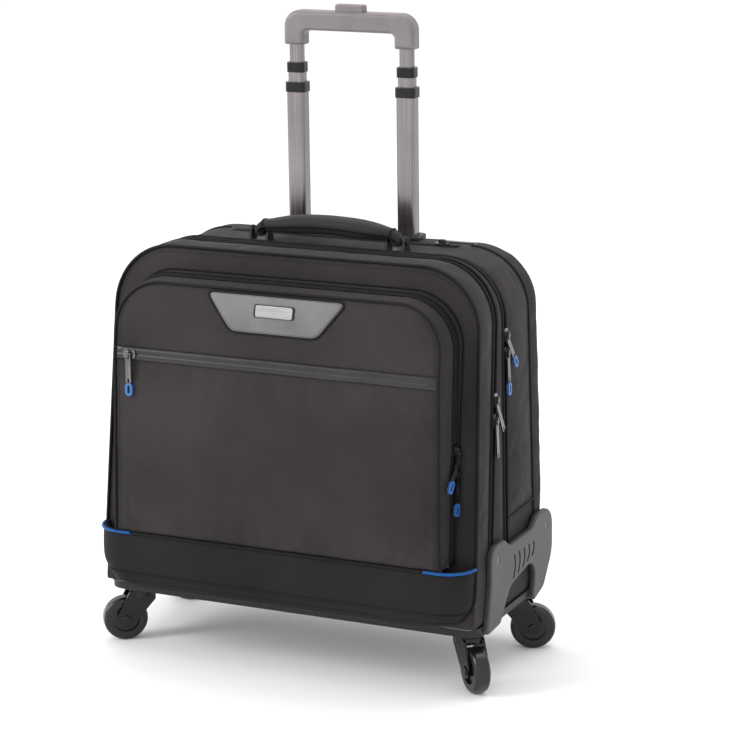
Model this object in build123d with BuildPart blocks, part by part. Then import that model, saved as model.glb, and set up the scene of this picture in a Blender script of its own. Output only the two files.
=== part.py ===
from build123d import *
import math
import os

# Rolling laptop case. Millimetres, +Z up, front of the case towards -Y,
# origin on the floor under the middle of the case.

os.makedirs("parts", exist_ok=True)

# ---------------------------------------------------------------- driving sizes
CASE_WIDTH = 420.0  # over the two side brackets
BODY_TOP = 418.0  # top of the fabric body
BACK_Y = 110.0  # outer face of the back panel
WALL = 3.0  # padded fabric wall
GAP = 0.3  # clearance between pieces that move past each other
THROUGH = 300.0  # length of a cutting block that goes right through

# Body of the case, seen from the front
BODY_HALF = CASE_WIDTH / 2 - 6.0  # half width at the foot of the tapering sides
BODY_TOP_HALF = BODY_HALF - 8.5  # half width where the sides would meet the top
TAPER_Z = 120.0  # height where the sides start to taper
BODY_LOW = 72.0  # lower edge of the two lids
REAR_TOP = BODY_TOP - 4.0  # the rear shell is a little lower
LAPTOP_INSET = 1.0  # and each section is a little smaller than the one in front
REAR_INSET = 2.0
TAPE_INSET = 0.5  # the zip tapes lie a little below the skin
CORNER_RADIUS = 62.0

# The leaning planes that part the body, each as y at BODY_LOW and y at BODY_TOP
FRONT_PLANE = (-86.0, -49.0)
FRONT_ZIP = (-49.0, -6.0)
REAR_ZIP = (-1.5, 15.0)
POCKET_ZIP = (-88.0, -61.0)
REAR_WALL_Y = BACK_Y - 3.0
REAR_EDGE_RADIUS = 14.0
TAPE_WIDTH = 5.0
TAPE_THICKNESS = 2.0
TAPE_SKIN = 1.0  # thickness of the tapes that lie on top of the fabric

# Front pocket
POCKET_BASE_Y = -50.0
POCKET_REACH = 66.0  # from the base plane past the front panel
POCKET_HALF = BODY_HALF - 16.5  # half width at the base plane and at the hinge
POCKET_TOP_HALF = POCKET_HALF - 5.0
POCKET_TOP = BODY_TOP - 22.0
POCKET_RADIUS = 54.0
POCKET_FLARE = 10.0  # degrees that the pocket's sides splay
PANEL_FOOT_Y = -108.2  # front face at the hinge
PANEL_BEND = (-101.7, POCKET_TOP - 86.0)  # where the flat front starts to curve back
PANEL_MID = (-96.7, POCKET_TOP - 44.0)
PANEL_HEAD = (-86.0, POCKET_TOP)

# Bottom band
BAND_TOP = 134.0
BAND_SIDE_RADIUS = 28.0
BAND_CORNER_RADIUS = 34.0
BAND_KEEL_RADIUS = 14.0
PIPING_RADIUS = 1.4
PIPING_START_X = POCKET_HALF - 25.9
PIPING_Z = BAND_TOP - PIPING_RADIUS

# Badge, name plate and slip pocket
BADGE_TOP = POCKET_TOP - 9.5
BADGE_LOW = BADGE_TOP - 37.0
BADGE_TOP_HALF = 77.0
BADGE_LOW_HALF = 47.0
BADGE_LOW_RADIUS = 14.0
BADGE_TOP_RADIUS = 4.0
BADGE_THICKNESS = 1.5
NAME_PLATE = (41.0, 11.5)
NAME_PLATE_Z = BADGE_TOP - 14.5
NAME_PLATE_RADIUS = 2.5
NAME_PLATE_THICKNESS = 2.0
SLIP_ZIP_Z = PANEL_BEND[1] + 8.0
SLIP_ZIP_HEIGHT = 13.0
SLIP_ZIP_HALF = POCKET_HALF - 15.5
SLIP_SLOPE = 0.09  # how much the panel leans back behind the slip pocket's zip

# Base tray, pods and casters
TRAY_HALF = CASE_WIDTH / 2 - 5.0
TRAY_LOW = 62.0
TRAY_TOP = 69.0
TRAY_FRONT = -84.0
TRAY_BACK = BACK_Y - 4.0
TRAY_SKIN = 3.0
TRAY_RADIUS = 18.0
FLAP_THICKNESS = 2.0
SLEEVE_HALF = BODY_HALF - 19.0
SLEEVE_DEPTH = 34.0
SLEEVE_TOP = BODY_TOP - 108.0
CASTER_X = CASE_WIDTH / 2 - 26.0
CASTER_FRONT_Y = -50.9
CASTER_REAR_Y = BACK_Y - 37.2
POD_RADIUS = 17.0
POD_EDGE = 2.0
POD_LOW = 53.5
WHEEL_RADIUS = 23.0
WHEEL_WIDTH = 16.0
TYRE_ROUND = 4.0
TRAIL = 18.0
RIM_RADIUS = 16.5
RIM_LIP = 2.5
HUB_BOSS = 3.0  # wider than the axle by this much
HUB_DISH = 3.0  # depth of the dish on each side of the hub
FORK_ARM = 2.6
FORK_GAP = 0.6
FORK_NOSE = POD_RADIUS - 4.0  # how far the fork's crown reaches from the stem
FORK_EYE = 9.0  # how far an arm reaches past the axle
FORK_DROP = 7.0  # how far an arm ends below the axle
FORK_CHEEK = 9.0  # height of the crown's nose
AXLE_RADIUS = 3.0
AXLE_HEAD = 2.0  # wider than the axle by this much
STEM_RADIUS = 4.0
STEM_TOP = 66.0
SHAFT_CLEARANCE = 0.08
CASTER_HEADINGS = {
    "front_left": -142.0,
    "front_right": -45.0,
    "rear_left": 168.0,
    "rear_right": 20.0,
}

# Side brackets
BRACKET_INNER = TRAY_HALF
BRACKET_FILLET = 2.0
SLIT_WIDTH = 3.2
SLIT_COUNT = 5
SLIT_BOW = 3.0  # how far the middle of a slit bows back
SCREW_RADIUS = 4.0
SCREW_RECESS = 0.4
SCREWS = ((CASTER_FRONT_Y + 14.9, 128.0), (CASTER_REAR_Y + 19.2, 127.0))

# First and last slit of a bracket's fan, each as y and z of its foot and of its head
SLIT_FIRST = ((CASTER_FRONT_Y + 53.9, 99.0), (CASTER_FRONT_Y + 56.9, 121.0))
SLIT_LAST = ((CASTER_REAR_Y - 19.8, 108.0), (CASTER_REAR_Y - 15.8, 120.0))

# Outline of a bracket seen from the side: y, z and the rounding of each corner
BRACKET_OUTLINE = (
    (CASTER_FRONT_Y - 13.1, 59.0, 4.0),  # foot of the front leg
    (CASTER_FRONT_Y - 2.6, 110.0, 30.0),
    (CASTER_FRONT_Y - 2.6, 145.0, 14.0),  # front ear
    (CASTER_FRONT_Y + 31.9, 145.0, 14.0),
    (CASTER_FRONT_Y + 45.9, 135.0, 14.0),
    (CASTER_REAR_Y - 18.8, 135.0, 14.0),
    (CASTER_REAR_Y - 4.8, 145.0, 14.0),  # rear ear
    (BACK_Y, 145.0, 20.0),
    (BACK_Y, 96.0, 30.0),
    (CASTER_REAR_Y + 13.2, 64.0, 14.0),
    (CASTER_REAR_Y - 16.8, 56.0, 4.0),  # foot of the rear leg
    (CASTER_REAR_Y - 6.8, 103.0, 16.0),
    (CASTER_FRONT_Y + 46.9, 92.0, 20.0),  # arch between the legs
    (CASTER_FRONT_Y + 20.9, 61.0, 8.0),
)

# Telescopic trolley
TUBE_X = 60.9
TUBE_Y = BACK_Y - 21.0
TUBE_WALL = 1.0
TUBE_RADIUS = 3.4
OUTER_TUBE = (22.2, 18.2)
STAGE_SIZES = ((19.6, 15.6), (17.0, 13.0), (14.4, 10.4))
STAGE_LENGTH = 340.0
STAGE_TOPS = (BODY_TOP + 149.0, BODY_TOP + 169.0, BODY_TOP + 204.0)
COLLAR_HEIGHT = 9.0
COLLAR_WALL = 1.2
COLLAR_LIP = 1.0
FOOT_HEIGHT = 12.0
FOOT_FLOOR = 4.0
FOOT_SIZE = (2 * TUBE_X + 30.2, 27.0)
FOOT_RADIUS = 4.0
BEZEL_SIZE = (2 * TUBE_X + 30.2, 29.0)
BEZEL_HEIGHT = 4.5
BEZEL_RADIUS = 6.0
BEZEL_EDGE = 1.5
BOARD_Y = BACK_Y - 38.0
BOARD_THICKNESS = 3.0

# Grip
GRIP_LOW = STAGE_TOPS[2] - 16.0
GRIP_TOP = GRIP_LOW + 35.0
GRIP_SIZE = (22.0, 18.0)  # leg, across and along Y
GRIP_BAR_LOW = GRIP_LOW + 15.0
GRIP_CORNER = 17.0
GRIP_INNER_CORNER = 5.0
GRIP_EDGE = 1.5
GRIP_ROUND = 4.5
BUTTON_HALF = 16.0
BUTTON_TOP = GRIP_TOP + 7.0
BUTTON_TRAVEL = 3.0
BUTTON_DEPTH = 11.0
BUTTON_CORNER = 2.8
BUTTON_EDGE = 2.0
LINK_Z = STAGE_TOPS[2] + 6.0  # underside of the link inside the grip
LINK_HEIGHT = 4.0
LINK_WIDTH = 6.0
ROD_RADIUS = 1.8
SPRING_RADIUS = 2.2
SPRING_WIRE = 0.35
SPRING_TURNS = 2.5

# Carry handle
HANDLE_Y = 28.5
HANDLE_PIN_Z = REAR_TOP + 10.6
HANDLE_PIN_RADIUS = 2.5
HANDLE_FOOT_X = 75.5
HANDLE_FOOT_WIDTH = 15.0
HANDLE_TOP = HANDLE_PIN_Z + 22.4
HANDLE_PAD = 13.0
HANDLE_DEPTH = 30.0
HANDLE_FOOT_RADIUS = 8.0
MOUNT_PLATE = 1.6
MOUNT_CORNER = 3.0
MOUNT_EAR = 2.5
MOUNT_HALF = 7.5
MOUNT_ROUND = 5.0
RIVET_HEAD = 1.6
RIVET_RIM = 1.5  # wider than the pin by this much
RIVET_EDGE = 1.2
TOP_ZIP_Y = BACK_Y - 44.0
TOP_ZIP_HALF = 125.0

# Zip sliders and pull tabs
SLIDER_WIDTH = 9.0
SLIDER_LENGTH = 14.0
SLIDER_CORNER = 3.0
SLIDER_LIFT = 0.5
SLIDER_TOP = 2.6
PIN_HEIGHT = 4.4
PIN_RADIUS = 1.2
BAIL_WIDTH = 2.4
BAIL_HALF = 4.0
BAIL_TOP = 6.2
TAB_THICKNESS = 1.6
TAB_WIDTH = 6.0
TAB_LENGTH = 24.0
TAB_EXTRA = 8.0  # added length of an all-metal tab
TAB_ARM = 1.4
TAB_REACH = 5.0  # from the pin to the head of the tab's plate
TAB_EYE = 0.4  # metal round the pin
RING_LENGTH = 13.0
RING_WIDTH = 8.0
RING_BAR = 2.5
RING_PROUD = 0.4  # thicker than the tab on each face


# ---------------------------------------------------------------- shared shapes
def lean(ends, z):
    """y of a leaning plane at height z."""
    return ends[0] + (ends[1] - ends[0]) * (z - BODY_LOW) / (BODY_TOP - BODY_LOW)


def shifted(ends, distance):
    """A leaning plane moved along Y."""
    return (ends[0] + distance, ends[1] + distance)


def between(first, last, share):
    """Point a share of the way from the first to the last."""
    return (first[0] + (last[0] - first[0]) * share, first[1] + (last[1] - first[1]) * share)


def body_outline(inset, low, top):
    """Front view of the body, flat in XY, with its skin moved in."""
    half = BODY_HALF - inset
    top_half = BODY_TOP_HALF - inset
    with BuildSketch() as outline:
        with BuildLine():
            Polyline(
                (-half, low),
                (-half, TAPER_Z),
                (-top_half, top),
                (top_half, top),
                (half, TAPER_Z),
                (half, low),
                close=True,
            )
        make_face()
        fillet(vertices().group_by(Axis.Y)[-1], radius=CORNER_RADIUS - inset)
    return outline.sketch


def body_block(inset, front, back, low, top):
    """Solid with the body's front view between two leaning planes."""
    high = BODY_TOP + WALL
    outline = body_outline(inset, low, top)
    with BuildPart() as block:
        with BuildSketch(Plane.XZ.offset(-THROUGH)):
            add(outline)
        extrude(amount=2 * THROUGH)
        with BuildSketch(Plane.YZ.offset(-THROUGH)):
            with BuildLine():
                Polyline(
                    (lean(front, low), low),
                    (lean(front, high), high),
                    (lean(back, high), high),
                    (lean(back, low), low),
                    close=True,
                )
            make_face()
        extrude(amount=2 * THROUGH, mode=Mode.INTERSECT)
    return block.part


def tape_ring(edge, inset, low, top, side):
    """Zip tape along the outline of the body, on one side of a leaning plane."""
    near = shifted(edge, side * GAP)
    far = shifted(edge, side * TAPE_WIDTH)
    front, back = (near, far) if side > 0 else (far, near)
    outside = body_block(inset, front, back, low, top - inset)
    inside = body_block(
        inset + TAPE_THICKNESS,
        shifted(front, -1),
        shifted(back, 1),
        low - 1,
        top - inset - TAPE_THICKNESS,
    )
    with BuildPart() as ring:
        add(outside)
        add(inside, mode=Mode.SUBTRACT)
    return ring.part


def pocket_block(inset, low, back):
    """Solid of the front pocket, its skin moved in by inset, in front of a plane."""
    high = POCKET_TOP - inset
    with BuildPart() as block:
        with BuildSketch(Plane.XZ.offset(-POCKET_BASE_Y)):
            half = POCKET_HALF - inset
            top_half = POCKET_TOP_HALF - inset
            with BuildLine():
                Polyline(
                    (-half, 0),
                    (-half, BAND_TOP),
                    (-top_half, high),
                    (top_half, high),
                    (half, BAND_TOP),
                    (half, 0),
                    close=True,
                )
            make_face()
            fillet(vertices().group_by(Axis.Y)[-1], radius=POCKET_RADIUS)
        extrude(amount=POCKET_REACH, taper=POCKET_FLARE)
        with BuildSketch(Plane.YZ.offset(-THROUGH)):
            with BuildLine():
                Line((PANEL_FOOT_Y + inset, low), (PANEL_BEND[0] + inset, PANEL_BEND[1]))
                ThreePointArc(
                    (PANEL_BEND[0] + inset, PANEL_BEND[1]),
                    (PANEL_MID[0] + inset, PANEL_MID[1]),
                    (PANEL_HEAD[0] + inset, PANEL_HEAD[1]),
                )
                Polyline(
                    (PANEL_HEAD[0] + inset, PANEL_HEAD[1]),
                    (lean(back, PANEL_HEAD[1]), PANEL_HEAD[1]),
                    (lean(back, low), low),
                    (PANEL_FOOT_Y + inset, low),
                )
            make_face()
        extrude(amount=2 * THROUGH, mode=Mode.INTERSECT)
    return block.part


def panel_skin(inner, outer):
    """A thin layer that follows the front panel, between two insets."""
    outside = pocket_block(outer, BAND_TOP + 1, FRONT_PLANE)
    inside = pocket_block(inner, BAND_TOP, shifted(FRONT_PLANE, 1))
    with BuildPart() as skin:
        add(outside)
        add(inside, mode=Mode.SUBTRACT)
    return skin.part


def band_block(inset, top, back):
    """Solid of the boot round the foot of the pocket, its skin moved in by inset."""
    half = BODY_HALF - inset
    front = PANEL_FOOT_Y + inset
    low = BODY_LOW + inset
    with BuildPart() as block:
        with BuildSketch(Plane.XZ.offset(-POCKET_BASE_Y)):
            with BuildLine():
                Polyline((-half, low), (-half, top), (half, top), (half, low), close=True)
            make_face()
            fillet(vertices().group_by(Axis.Y)[0], radius=BAND_CORNER_RADIUS - inset)
        extrude(amount=THROUGH)
        with BuildSketch(Plane.YZ.offset(-THROUGH)):
            with BuildLine():
                Polyline(
                    (front, low),
                    (front, top),
                    (lean(back, top), top),
                    (lean(back, low), low),
                    close=True,
                )
            make_face()
            fillet(vertices().group_by(Axis.Y)[0].sort_by(Axis.X)[0], radius=BAND_KEEL_RADIUS - inset)
        extrude(amount=2 * THROUGH, mode=Mode.INTERSECT)
        with BuildSketch(Plane.XY):
            with BuildLine():
                Polyline((-half, 0), (-half, front), (half, front), (half, 0), close=True)
            make_face()
            fillet(vertices().group_by(Axis.Y)[0], radius=BAND_SIDE_RADIUS - inset)
        extrude(amount=THROUGH, mode=Mode.INTERSECT)
    return block.part


def tube_pair(size, wall, low, high):
    """Two upright rectangular tubes of the trolley."""
    with BuildPart() as tubes:
        with BuildSketch(Plane.XY.offset(low)):
            with Locations((-TUBE_X, TUBE_Y), (TUBE_X, TUBE_Y)):
                RectangleRounded(size[0], size[1], TUBE_RADIUS)
                RectangleRounded(
                    size[0] - 2 * wall, size[1] - 2 * wall, TUBE_RADIUS - wall, mode=Mode.SUBTRACT
                )
        extrude(amount=high - low)
    return tubes.part


def placed(shape, place):
    """Copy of a piece's solids at another place."""
    return Compound([solid.moved(place) for solid in shape.solids()])


def save(name, part):
    """Label a finished piece and write it under its node's name."""
    part.label = name
    export_step(part, "parts/" + name + ".step")


# ---------------------------------------------------------------- base tray
# A moulded tray with a rim and ribs below, and four round pods for the casters.
with BuildPart() as base_tray:
    with BuildSketch(Plane.XY.offset(TRAY_LOW)):
        with BuildLine():
            Polyline(
                (-TRAY_HALF, TRAY_FRONT),
                (-TRAY_HALF, TRAY_BACK),
                (TRAY_HALF, TRAY_BACK),
                (TRAY_HALF, TRAY_FRONT),
                close=True,
            )
        make_face()
        fillet(vertices(), radius=TRAY_RADIUS)
    extrude(amount=TRAY_TOP - TRAY_LOW)
    with BuildSketch(Plane.XY.offset(TRAY_LOW)):
        with Locations((0, (TRAY_FRONT + TRAY_BACK) / 2)):
            Rectangle(2 * (CASTER_X - POD_RADIUS - TRAY_SKIN), TRAY_BACK - TRAY_FRONT - 4 * TRAY_SKIN)
            with Locations((-CASTER_X / 2, 0), (0, 0), (CASTER_X / 2, 0)):
                Rectangle(TRAY_SKIN, TRAY_BACK - TRAY_FRONT, mode=Mode.SUBTRACT)
    extrude(amount=TRAY_TOP - TRAY_LOW - TRAY_SKIN, mode=Mode.SUBTRACT)
    with BuildSketch(Plane.XY.offset(POD_LOW)):
        with Locations(
            (-CASTER_X, CASTER_FRONT_Y),
            (CASTER_X, CASTER_FRONT_Y),
            (-CASTER_X, CASTER_REAR_Y),
            (CASTER_X, CASTER_REAR_Y),
        ):
            Circle(POD_RADIUS)
    extrude(amount=TRAY_LOW - POD_LOW)
    fillet(edges().group_by(Axis.Z)[0], radius=POD_EDGE)
    with BuildSketch(Plane.XY.offset(POD_LOW)):
        with Locations(
            (-CASTER_X, CASTER_FRONT_Y),
            (CASTER_X, CASTER_FRONT_Y),
            (-CASTER_X, CASTER_REAR_Y),
            (CASTER_X, CASTER_REAR_Y),
        ):
            Circle(STEM_RADIUS + SHAFT_CLEARANCE)
    extrude(amount=STEM_TOP + GAP - POD_LOW, mode=Mode.SUBTRACT)
save("base_tray", base_tray.part)

# ---------------------------------------------------------------- side brackets
# One grey moulding on each side spans both casters: two ears, an arch between two
# legs, and a fan of curved slits.
def bracket(side):
    """Side bracket on the +X or -X side of the case."""
    with BuildPart() as shape:
        with BuildSketch(Plane.YZ.offset(side * BRACKET_INNER)):
            with BuildLine():
                corners = [corner[:2] for corner in BRACKET_OUTLINE]
                radii = [corner[2] for corner in BRACKET_OUTLINE]
                FilletPolyline(*corners, radius=radii, close=True)
            make_face()
        extrude(amount=side * (CASE_WIDTH / 2 - BRACKET_INNER))
        outer = faces().sort_by(Axis.X)[-1 if side > 0 else 0]
        fillet(outer.edges(), radius=BRACKET_FILLET)
        with BuildSketch(Plane.YZ.offset(side * TRAY_HALF)):
            for count in range(SLIT_COUNT):
                share = count / (SLIT_COUNT - 1)
                foot = between(SLIT_FIRST[0], SLIT_LAST[0], share)
                head = between(SLIT_FIRST[1], SLIT_LAST[1], share)
                middle = ((foot[0] + head[0]) / 2 + SLIT_BOW, (foot[1] + head[1]) / 2)
                with BuildLine() as centre:
                    ThreePointArc(foot, middle, head)
                SlotArc(centre.line.edge(), SLIT_WIDTH)
        extrude(amount=side * (CASE_WIDTH / 2 - TRAY_HALF), mode=Mode.SUBTRACT)
        with BuildSketch(Plane.YZ.offset(side * BRACKET_INNER)):
            with Locations(*SCREWS):
                Circle(SCREW_RADIUS)
        extrude(amount=side * (CASE_WIDTH / 2 - BRACKET_INNER), mode=Mode.SUBTRACT)
    return shape.part


save("bracket_left", bracket(-1))
save("bracket_right", bracket(1))

# Domed screws fill the holes in the bracket ears, flush inside.
with BuildPart() as bracket_screws:
    for side in (-1, 1):
        with BuildSketch(Plane.YZ.offset(side * BRACKET_INNER)):
            with Locations(*SCREWS):
                Circle(SCREW_RADIUS)
        extrude(amount=side * (CASE_WIDTH / 2 - BRACKET_INNER - SCREW_RECESS))
save("bracket_screws", bracket_screws.part)

# ---------------------------------------------------------------- rear shell
# The rear compartment: sides, top and back wall of padded fabric, open at the front,
# standing on the tray. The trolley's tubes leave through its top.
rear_outside = body_block(REAR_INSET, shifted(REAR_ZIP, TAPE_WIDTH), (REAR_WALL_Y,) * 2, TRAY_TOP, REAR_TOP)
rear_inside = body_block(
    REAR_INSET + WALL, REAR_ZIP, (REAR_WALL_Y - WALL,) * 2, TRAY_TOP - 1, REAR_TOP - WALL
)
with BuildPart() as rear_hollow:
    add(rear_inside)
    fillet(edges().group_by(Axis.Y)[-1].sort_by(Axis.Z)[1:], radius=REAR_EDGE_RADIUS - WALL)
with BuildPart() as rear_shell:
    add(rear_outside)
    fillet(edges().group_by(Axis.Y)[-1].sort_by(Axis.Z)[1:], radius=REAR_EDGE_RADIUS)
    add(rear_hollow.part, mode=Mode.SUBTRACT)
    with BuildSketch(Plane.XY.offset(REAR_TOP - 2 * WALL)):
        with Locations((-TUBE_X, TUBE_Y), (TUBE_X, TUBE_Y)):
            Rectangle(OUTER_TUBE[0] + GAP, OUTER_TUBE[1] + GAP)
    extrude(amount=3 * WALL, mode=Mode.SUBTRACT)
save("rear_shell", rear_shell.part)

# A stiff panel closes the back and gives the case a flat face to rest on.
panel_outline = body_outline(
    REAR_EDGE_RADIUS + REAR_INSET, TRAY_TOP + REAR_EDGE_RADIUS, REAR_TOP - REAR_EDGE_RADIUS
)
with BuildPart() as back_panel:
    with BuildSketch(Plane.XZ.offset(-BACK_Y)):
        add(panel_outline)
    extrude(amount=BACK_Y - REAR_WALL_Y)
save("back_panel", back_panel.part)

# The board inside parts the rear compartment from the trolley's channel.
board = body_block(
    REAR_INSET + WALL,
    (BOARD_Y, BOARD_Y),
    (BOARD_Y + BOARD_THICKNESS,) * 2,
    TRAY_TOP,
    REAR_TOP - WALL,
)
save("back_board", board)

# Zip tapes of the rear shell: round its front edge and across its top.
rear_tape = tape_ring(REAR_ZIP, REAR_INSET + TAPE_INSET, TRAY_TOP, REAR_TOP, 1)
with BuildPart() as rear_zip_tapes:
    add(rear_tape)
    with BuildSketch(Plane.XY.offset(REAR_TOP)):
        with Locations((0, TOP_ZIP_Y)):
            Rectangle(2 * TOP_ZIP_HALF, 2 * TAPE_WIDTH)
    extrude(amount=TAPE_SKIN)
save("rear_zip_tapes", rear_zip_tapes.part)

# ---------------------------------------------------------------- laptop section
# The middle ring between the two zips: sides and top, with a floor flap that runs
# forward to the hinge line and a divider that closes the rear compartment.
ring_outside = body_block(
    LAPTOP_INSET,
    shifted(FRONT_ZIP, TAPE_WIDTH),
    shifted(REAR_ZIP, -TAPE_WIDTH),
    TRAY_TOP + GAP,
    BODY_TOP - LAPTOP_INSET,
)
ring_inside = body_block(
    LAPTOP_INSET + WALL, FRONT_ZIP, REAR_ZIP, TRAY_TOP - 1, BODY_TOP - LAPTOP_INSET - WALL
)
with BuildPart() as laptop_gusset:
    add(ring_outside)
    add(ring_inside, mode=Mode.SUBTRACT)
save("laptop_gusset", laptop_gusset.part)

divider_wall = body_block(
    LAPTOP_INSET + WALL,
    shifted(REAR_ZIP, -TAPE_WIDTH - WALL),
    shifted(REAR_ZIP, -TAPE_WIDTH),
    TRAY_TOP + GAP,
    BODY_TOP - LAPTOP_INSET - WALL,
)
with BuildPart() as laptop_divider:
    add(divider_wall)
    with BuildSketch(Plane.XY.offset(TRAY_TOP + GAP)):
        with BuildLine():
            half = BODY_HALF - LAPTOP_INSET - WALL
            Polyline(
                (-half, TRAY_FRONT),
                (-half, REAR_ZIP[0] - TAPE_WIDTH - WALL / 2),
                (half, REAR_ZIP[0] - TAPE_WIDTH - WALL / 2),
                (half, TRAY_FRONT),
                close=True,
            )
        make_face()
    extrude(amount=FLAP_THICKNESS)
save("laptop_divider", laptop_divider.part)

# A padded sleeve for the laptop stands on the flap against the divider, open at its top.
with BuildPart() as laptop_sleeve:
    sleeve_low = TRAY_TOP + GAP + FLAP_THICKNESS
    with BuildSketch(Plane.YZ.offset(-SLEEVE_HALF)):
        with BuildLine():
            back_line = shifted(REAR_ZIP, -TAPE_WIDTH - WALL)
            front_line = shifted(back_line, -SLEEVE_DEPTH)
            Polyline(
                (lean(front_line, sleeve_low), sleeve_low),
                (lean(front_line, SLEEVE_TOP), SLEEVE_TOP),
                (lean(back_line, SLEEVE_TOP), SLEEVE_TOP),
                (lean(back_line, sleeve_low), sleeve_low),
                close=True,
            )
        make_face()
    extrude(amount=2 * SLEEVE_HALF)
    with BuildSketch(Plane.YZ.offset(-SLEEVE_HALF + WALL)):
        with BuildLine():
            Polyline(
                (lean(front_line, sleeve_low) + WALL, sleeve_low + WALL),
                (lean(front_line, SLEEVE_TOP + 1) + WALL, SLEEVE_TOP + 1),
                (lean(back_line, SLEEVE_TOP + 1) - WALL, SLEEVE_TOP + 1),
                (lean(back_line, sleeve_low) - WALL, sleeve_low + WALL),
                close=True,
            )
        make_face()
    extrude(amount=2 * (SLEEVE_HALF - WALL), mode=Mode.SUBTRACT)
save("laptop_sleeve", laptop_sleeve.part)

laptop_tape_inset = LAPTOP_INSET + TAPE_INSET
front_tape = tape_ring(FRONT_ZIP, laptop_tape_inset, TRAY_TOP + GAP, BODY_TOP, 1)
back_tape = tape_ring(REAR_ZIP, laptop_tape_inset, TRAY_TOP + GAP, BODY_TOP, -1)
with BuildPart() as laptop_zip_tapes:
    add(front_tape)
    add(back_tape)
save("laptop_zip_tapes", laptop_zip_tapes.part)

# ---------------------------------------------------------------- front section
# The front lid: the body's front wall with its sides and top, open behind.
lid_low = TRAY_TOP + 2 * GAP + FLAP_THICKNESS
lid_outside = body_block(0, FRONT_PLANE, shifted(FRONT_ZIP, -TAPE_WIDTH), lid_low, BODY_TOP)
lid_inside = body_block(WALL, shifted(FRONT_PLANE, WALL), FRONT_ZIP, lid_low - 1, BODY_TOP - WALL)
with BuildPart() as front_shell:
    add(lid_outside)
    add(lid_inside, mode=Mode.SUBTRACT)
save("front_shell", front_shell.part)

# The fixed half of the pocket's side wall, between the lid and the pocket's zip.
pocket_low = BAND_TOP + GAP
gusset_outside = pocket_block(0, pocket_low, FRONT_PLANE)
gusset_inside = pocket_block(WALL, pocket_low - 1, shifted(FRONT_PLANE, 1))
flap_side = pocket_block(-WALL, pocket_low - 1, shifted(POCKET_ZIP, TAPE_WIDTH / 4))
with BuildPart() as pocket_gusset:
    add(gusset_outside)
    add(gusset_inside, mode=Mode.SUBTRACT)
    add(flap_side, mode=Mode.SUBTRACT)
save("pocket_gusset", pocket_gusset.part)

# The boot round the foot of the pocket, open at its top and against the lid.
band_outside = band_block(0, BAND_TOP, FRONT_PLANE)
band_inside = band_block(WALL, BAND_TOP + 1, shifted(FRONT_PLANE, 1))
with BuildPart() as bottom_band:
    add(band_outside)
    add(band_inside, mode=Mode.SUBTRACT)
    split(bisect_by=Plane.XY.offset(lid_low), keep=Keep.TOP)
save("bottom_band", bottom_band.part)

# Two short lengths of blue piping run round the corners of the boot.
with BuildPart() as blue_piping:
    for side in (-1, 1):
        corner = BODY_HALF - BAND_SIDE_RADIUS
        piping_y = PANEL_FOOT_Y - PIPING_RADIUS
        piping_x = side * (BODY_HALF + PIPING_RADIUS)
        with BuildLine() as run:
            Line((side * PIPING_START_X, piping_y, PIPING_Z), (side * corner, piping_y, PIPING_Z))
            RadiusArc(
                (side * corner, piping_y, PIPING_Z),
                (piping_x, PANEL_FOOT_Y + BAND_SIDE_RADIUS, PIPING_Z),
                side * -(BAND_SIDE_RADIUS + PIPING_RADIUS),
            )
        with BuildSketch(Plane((side * PIPING_START_X, piping_y, PIPING_Z), z_dir=(side, 0, 0))):
            Circle(PIPING_RADIUS)
        sweep(path=run.line)
save("blue_piping", blue_piping.part)

# Zip tape of the front lid.
save("front_zip_tape", tape_ring(FRONT_ZIP, TAPE_INSET, lid_low, BODY_TOP, -1))

# ---------------------------------------------------------------- pocket flap
# The front of the pocket with its half of the side wall, hinged above the boot.
flap_outside = pocket_block(0, pocket_low, shifted(POCKET_ZIP, -TAPE_WIDTH / 4))
flap_inside = pocket_block(WALL, pocket_low - 1, POCKET_ZIP)
with BuildPart() as flap_shell:
    add(flap_outside)
    add(flap_inside, mode=Mode.SUBTRACT)
save("flap_shell", flap_shell.part)

# Badge: a trapezoid that follows the panel, with a blank name plate on it.
badge_skin = panel_skin(0, -BADGE_THICKNESS)
with BuildPart() as badge_plate:
    with BuildSketch(Plane.XZ):
        with BuildLine():
            Polyline(
                (-BADGE_TOP_HALF, BADGE_TOP),
                (BADGE_TOP_HALF, BADGE_TOP),
                (BADGE_LOW_HALF, BADGE_LOW),
                (-BADGE_LOW_HALF, BADGE_LOW),
                close=True,
            )
        make_face()
        fillet(vertices().group_by(Axis.Y)[0], radius=BADGE_LOW_RADIUS)
        fillet(vertices().group_by(Axis.Y)[-1], radius=BADGE_TOP_RADIUS)
    extrude(amount=THROUGH)
    add(badge_skin, mode=Mode.INTERSECT)
save("badge_plate", badge_plate.part)

name_skin = panel_skin(-BADGE_THICKNESS, -BADGE_THICKNESS - NAME_PLATE_THICKNESS)
with BuildPart() as name_plate:
    with BuildSketch(Plane.XZ):
        with Locations((0, NAME_PLATE_Z)):
            RectangleRounded(NAME_PLATE[0], NAME_PLATE[1], NAME_PLATE_RADIUS)
    extrude(amount=THROUGH)
    add(name_skin, mode=Mode.INTERSECT)
save("name_plate", name_plate.part)

# Covered zip of the flat slip pocket across the panel.
slip_skin = panel_skin(0, -TAPE_SKIN)
with BuildPart() as slip_zip_tape:
    with BuildSketch(Plane.XZ):
        with Locations((0, SLIP_ZIP_Z)):
            Rectangle(2 * SLIP_ZIP_HALF, SLIP_ZIP_HEIGHT)
    extrude(amount=THROUGH)
    add(slip_skin, mode=Mode.INTERSECT)
save("slip_zip_tape", slip_zip_tape.part)

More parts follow.
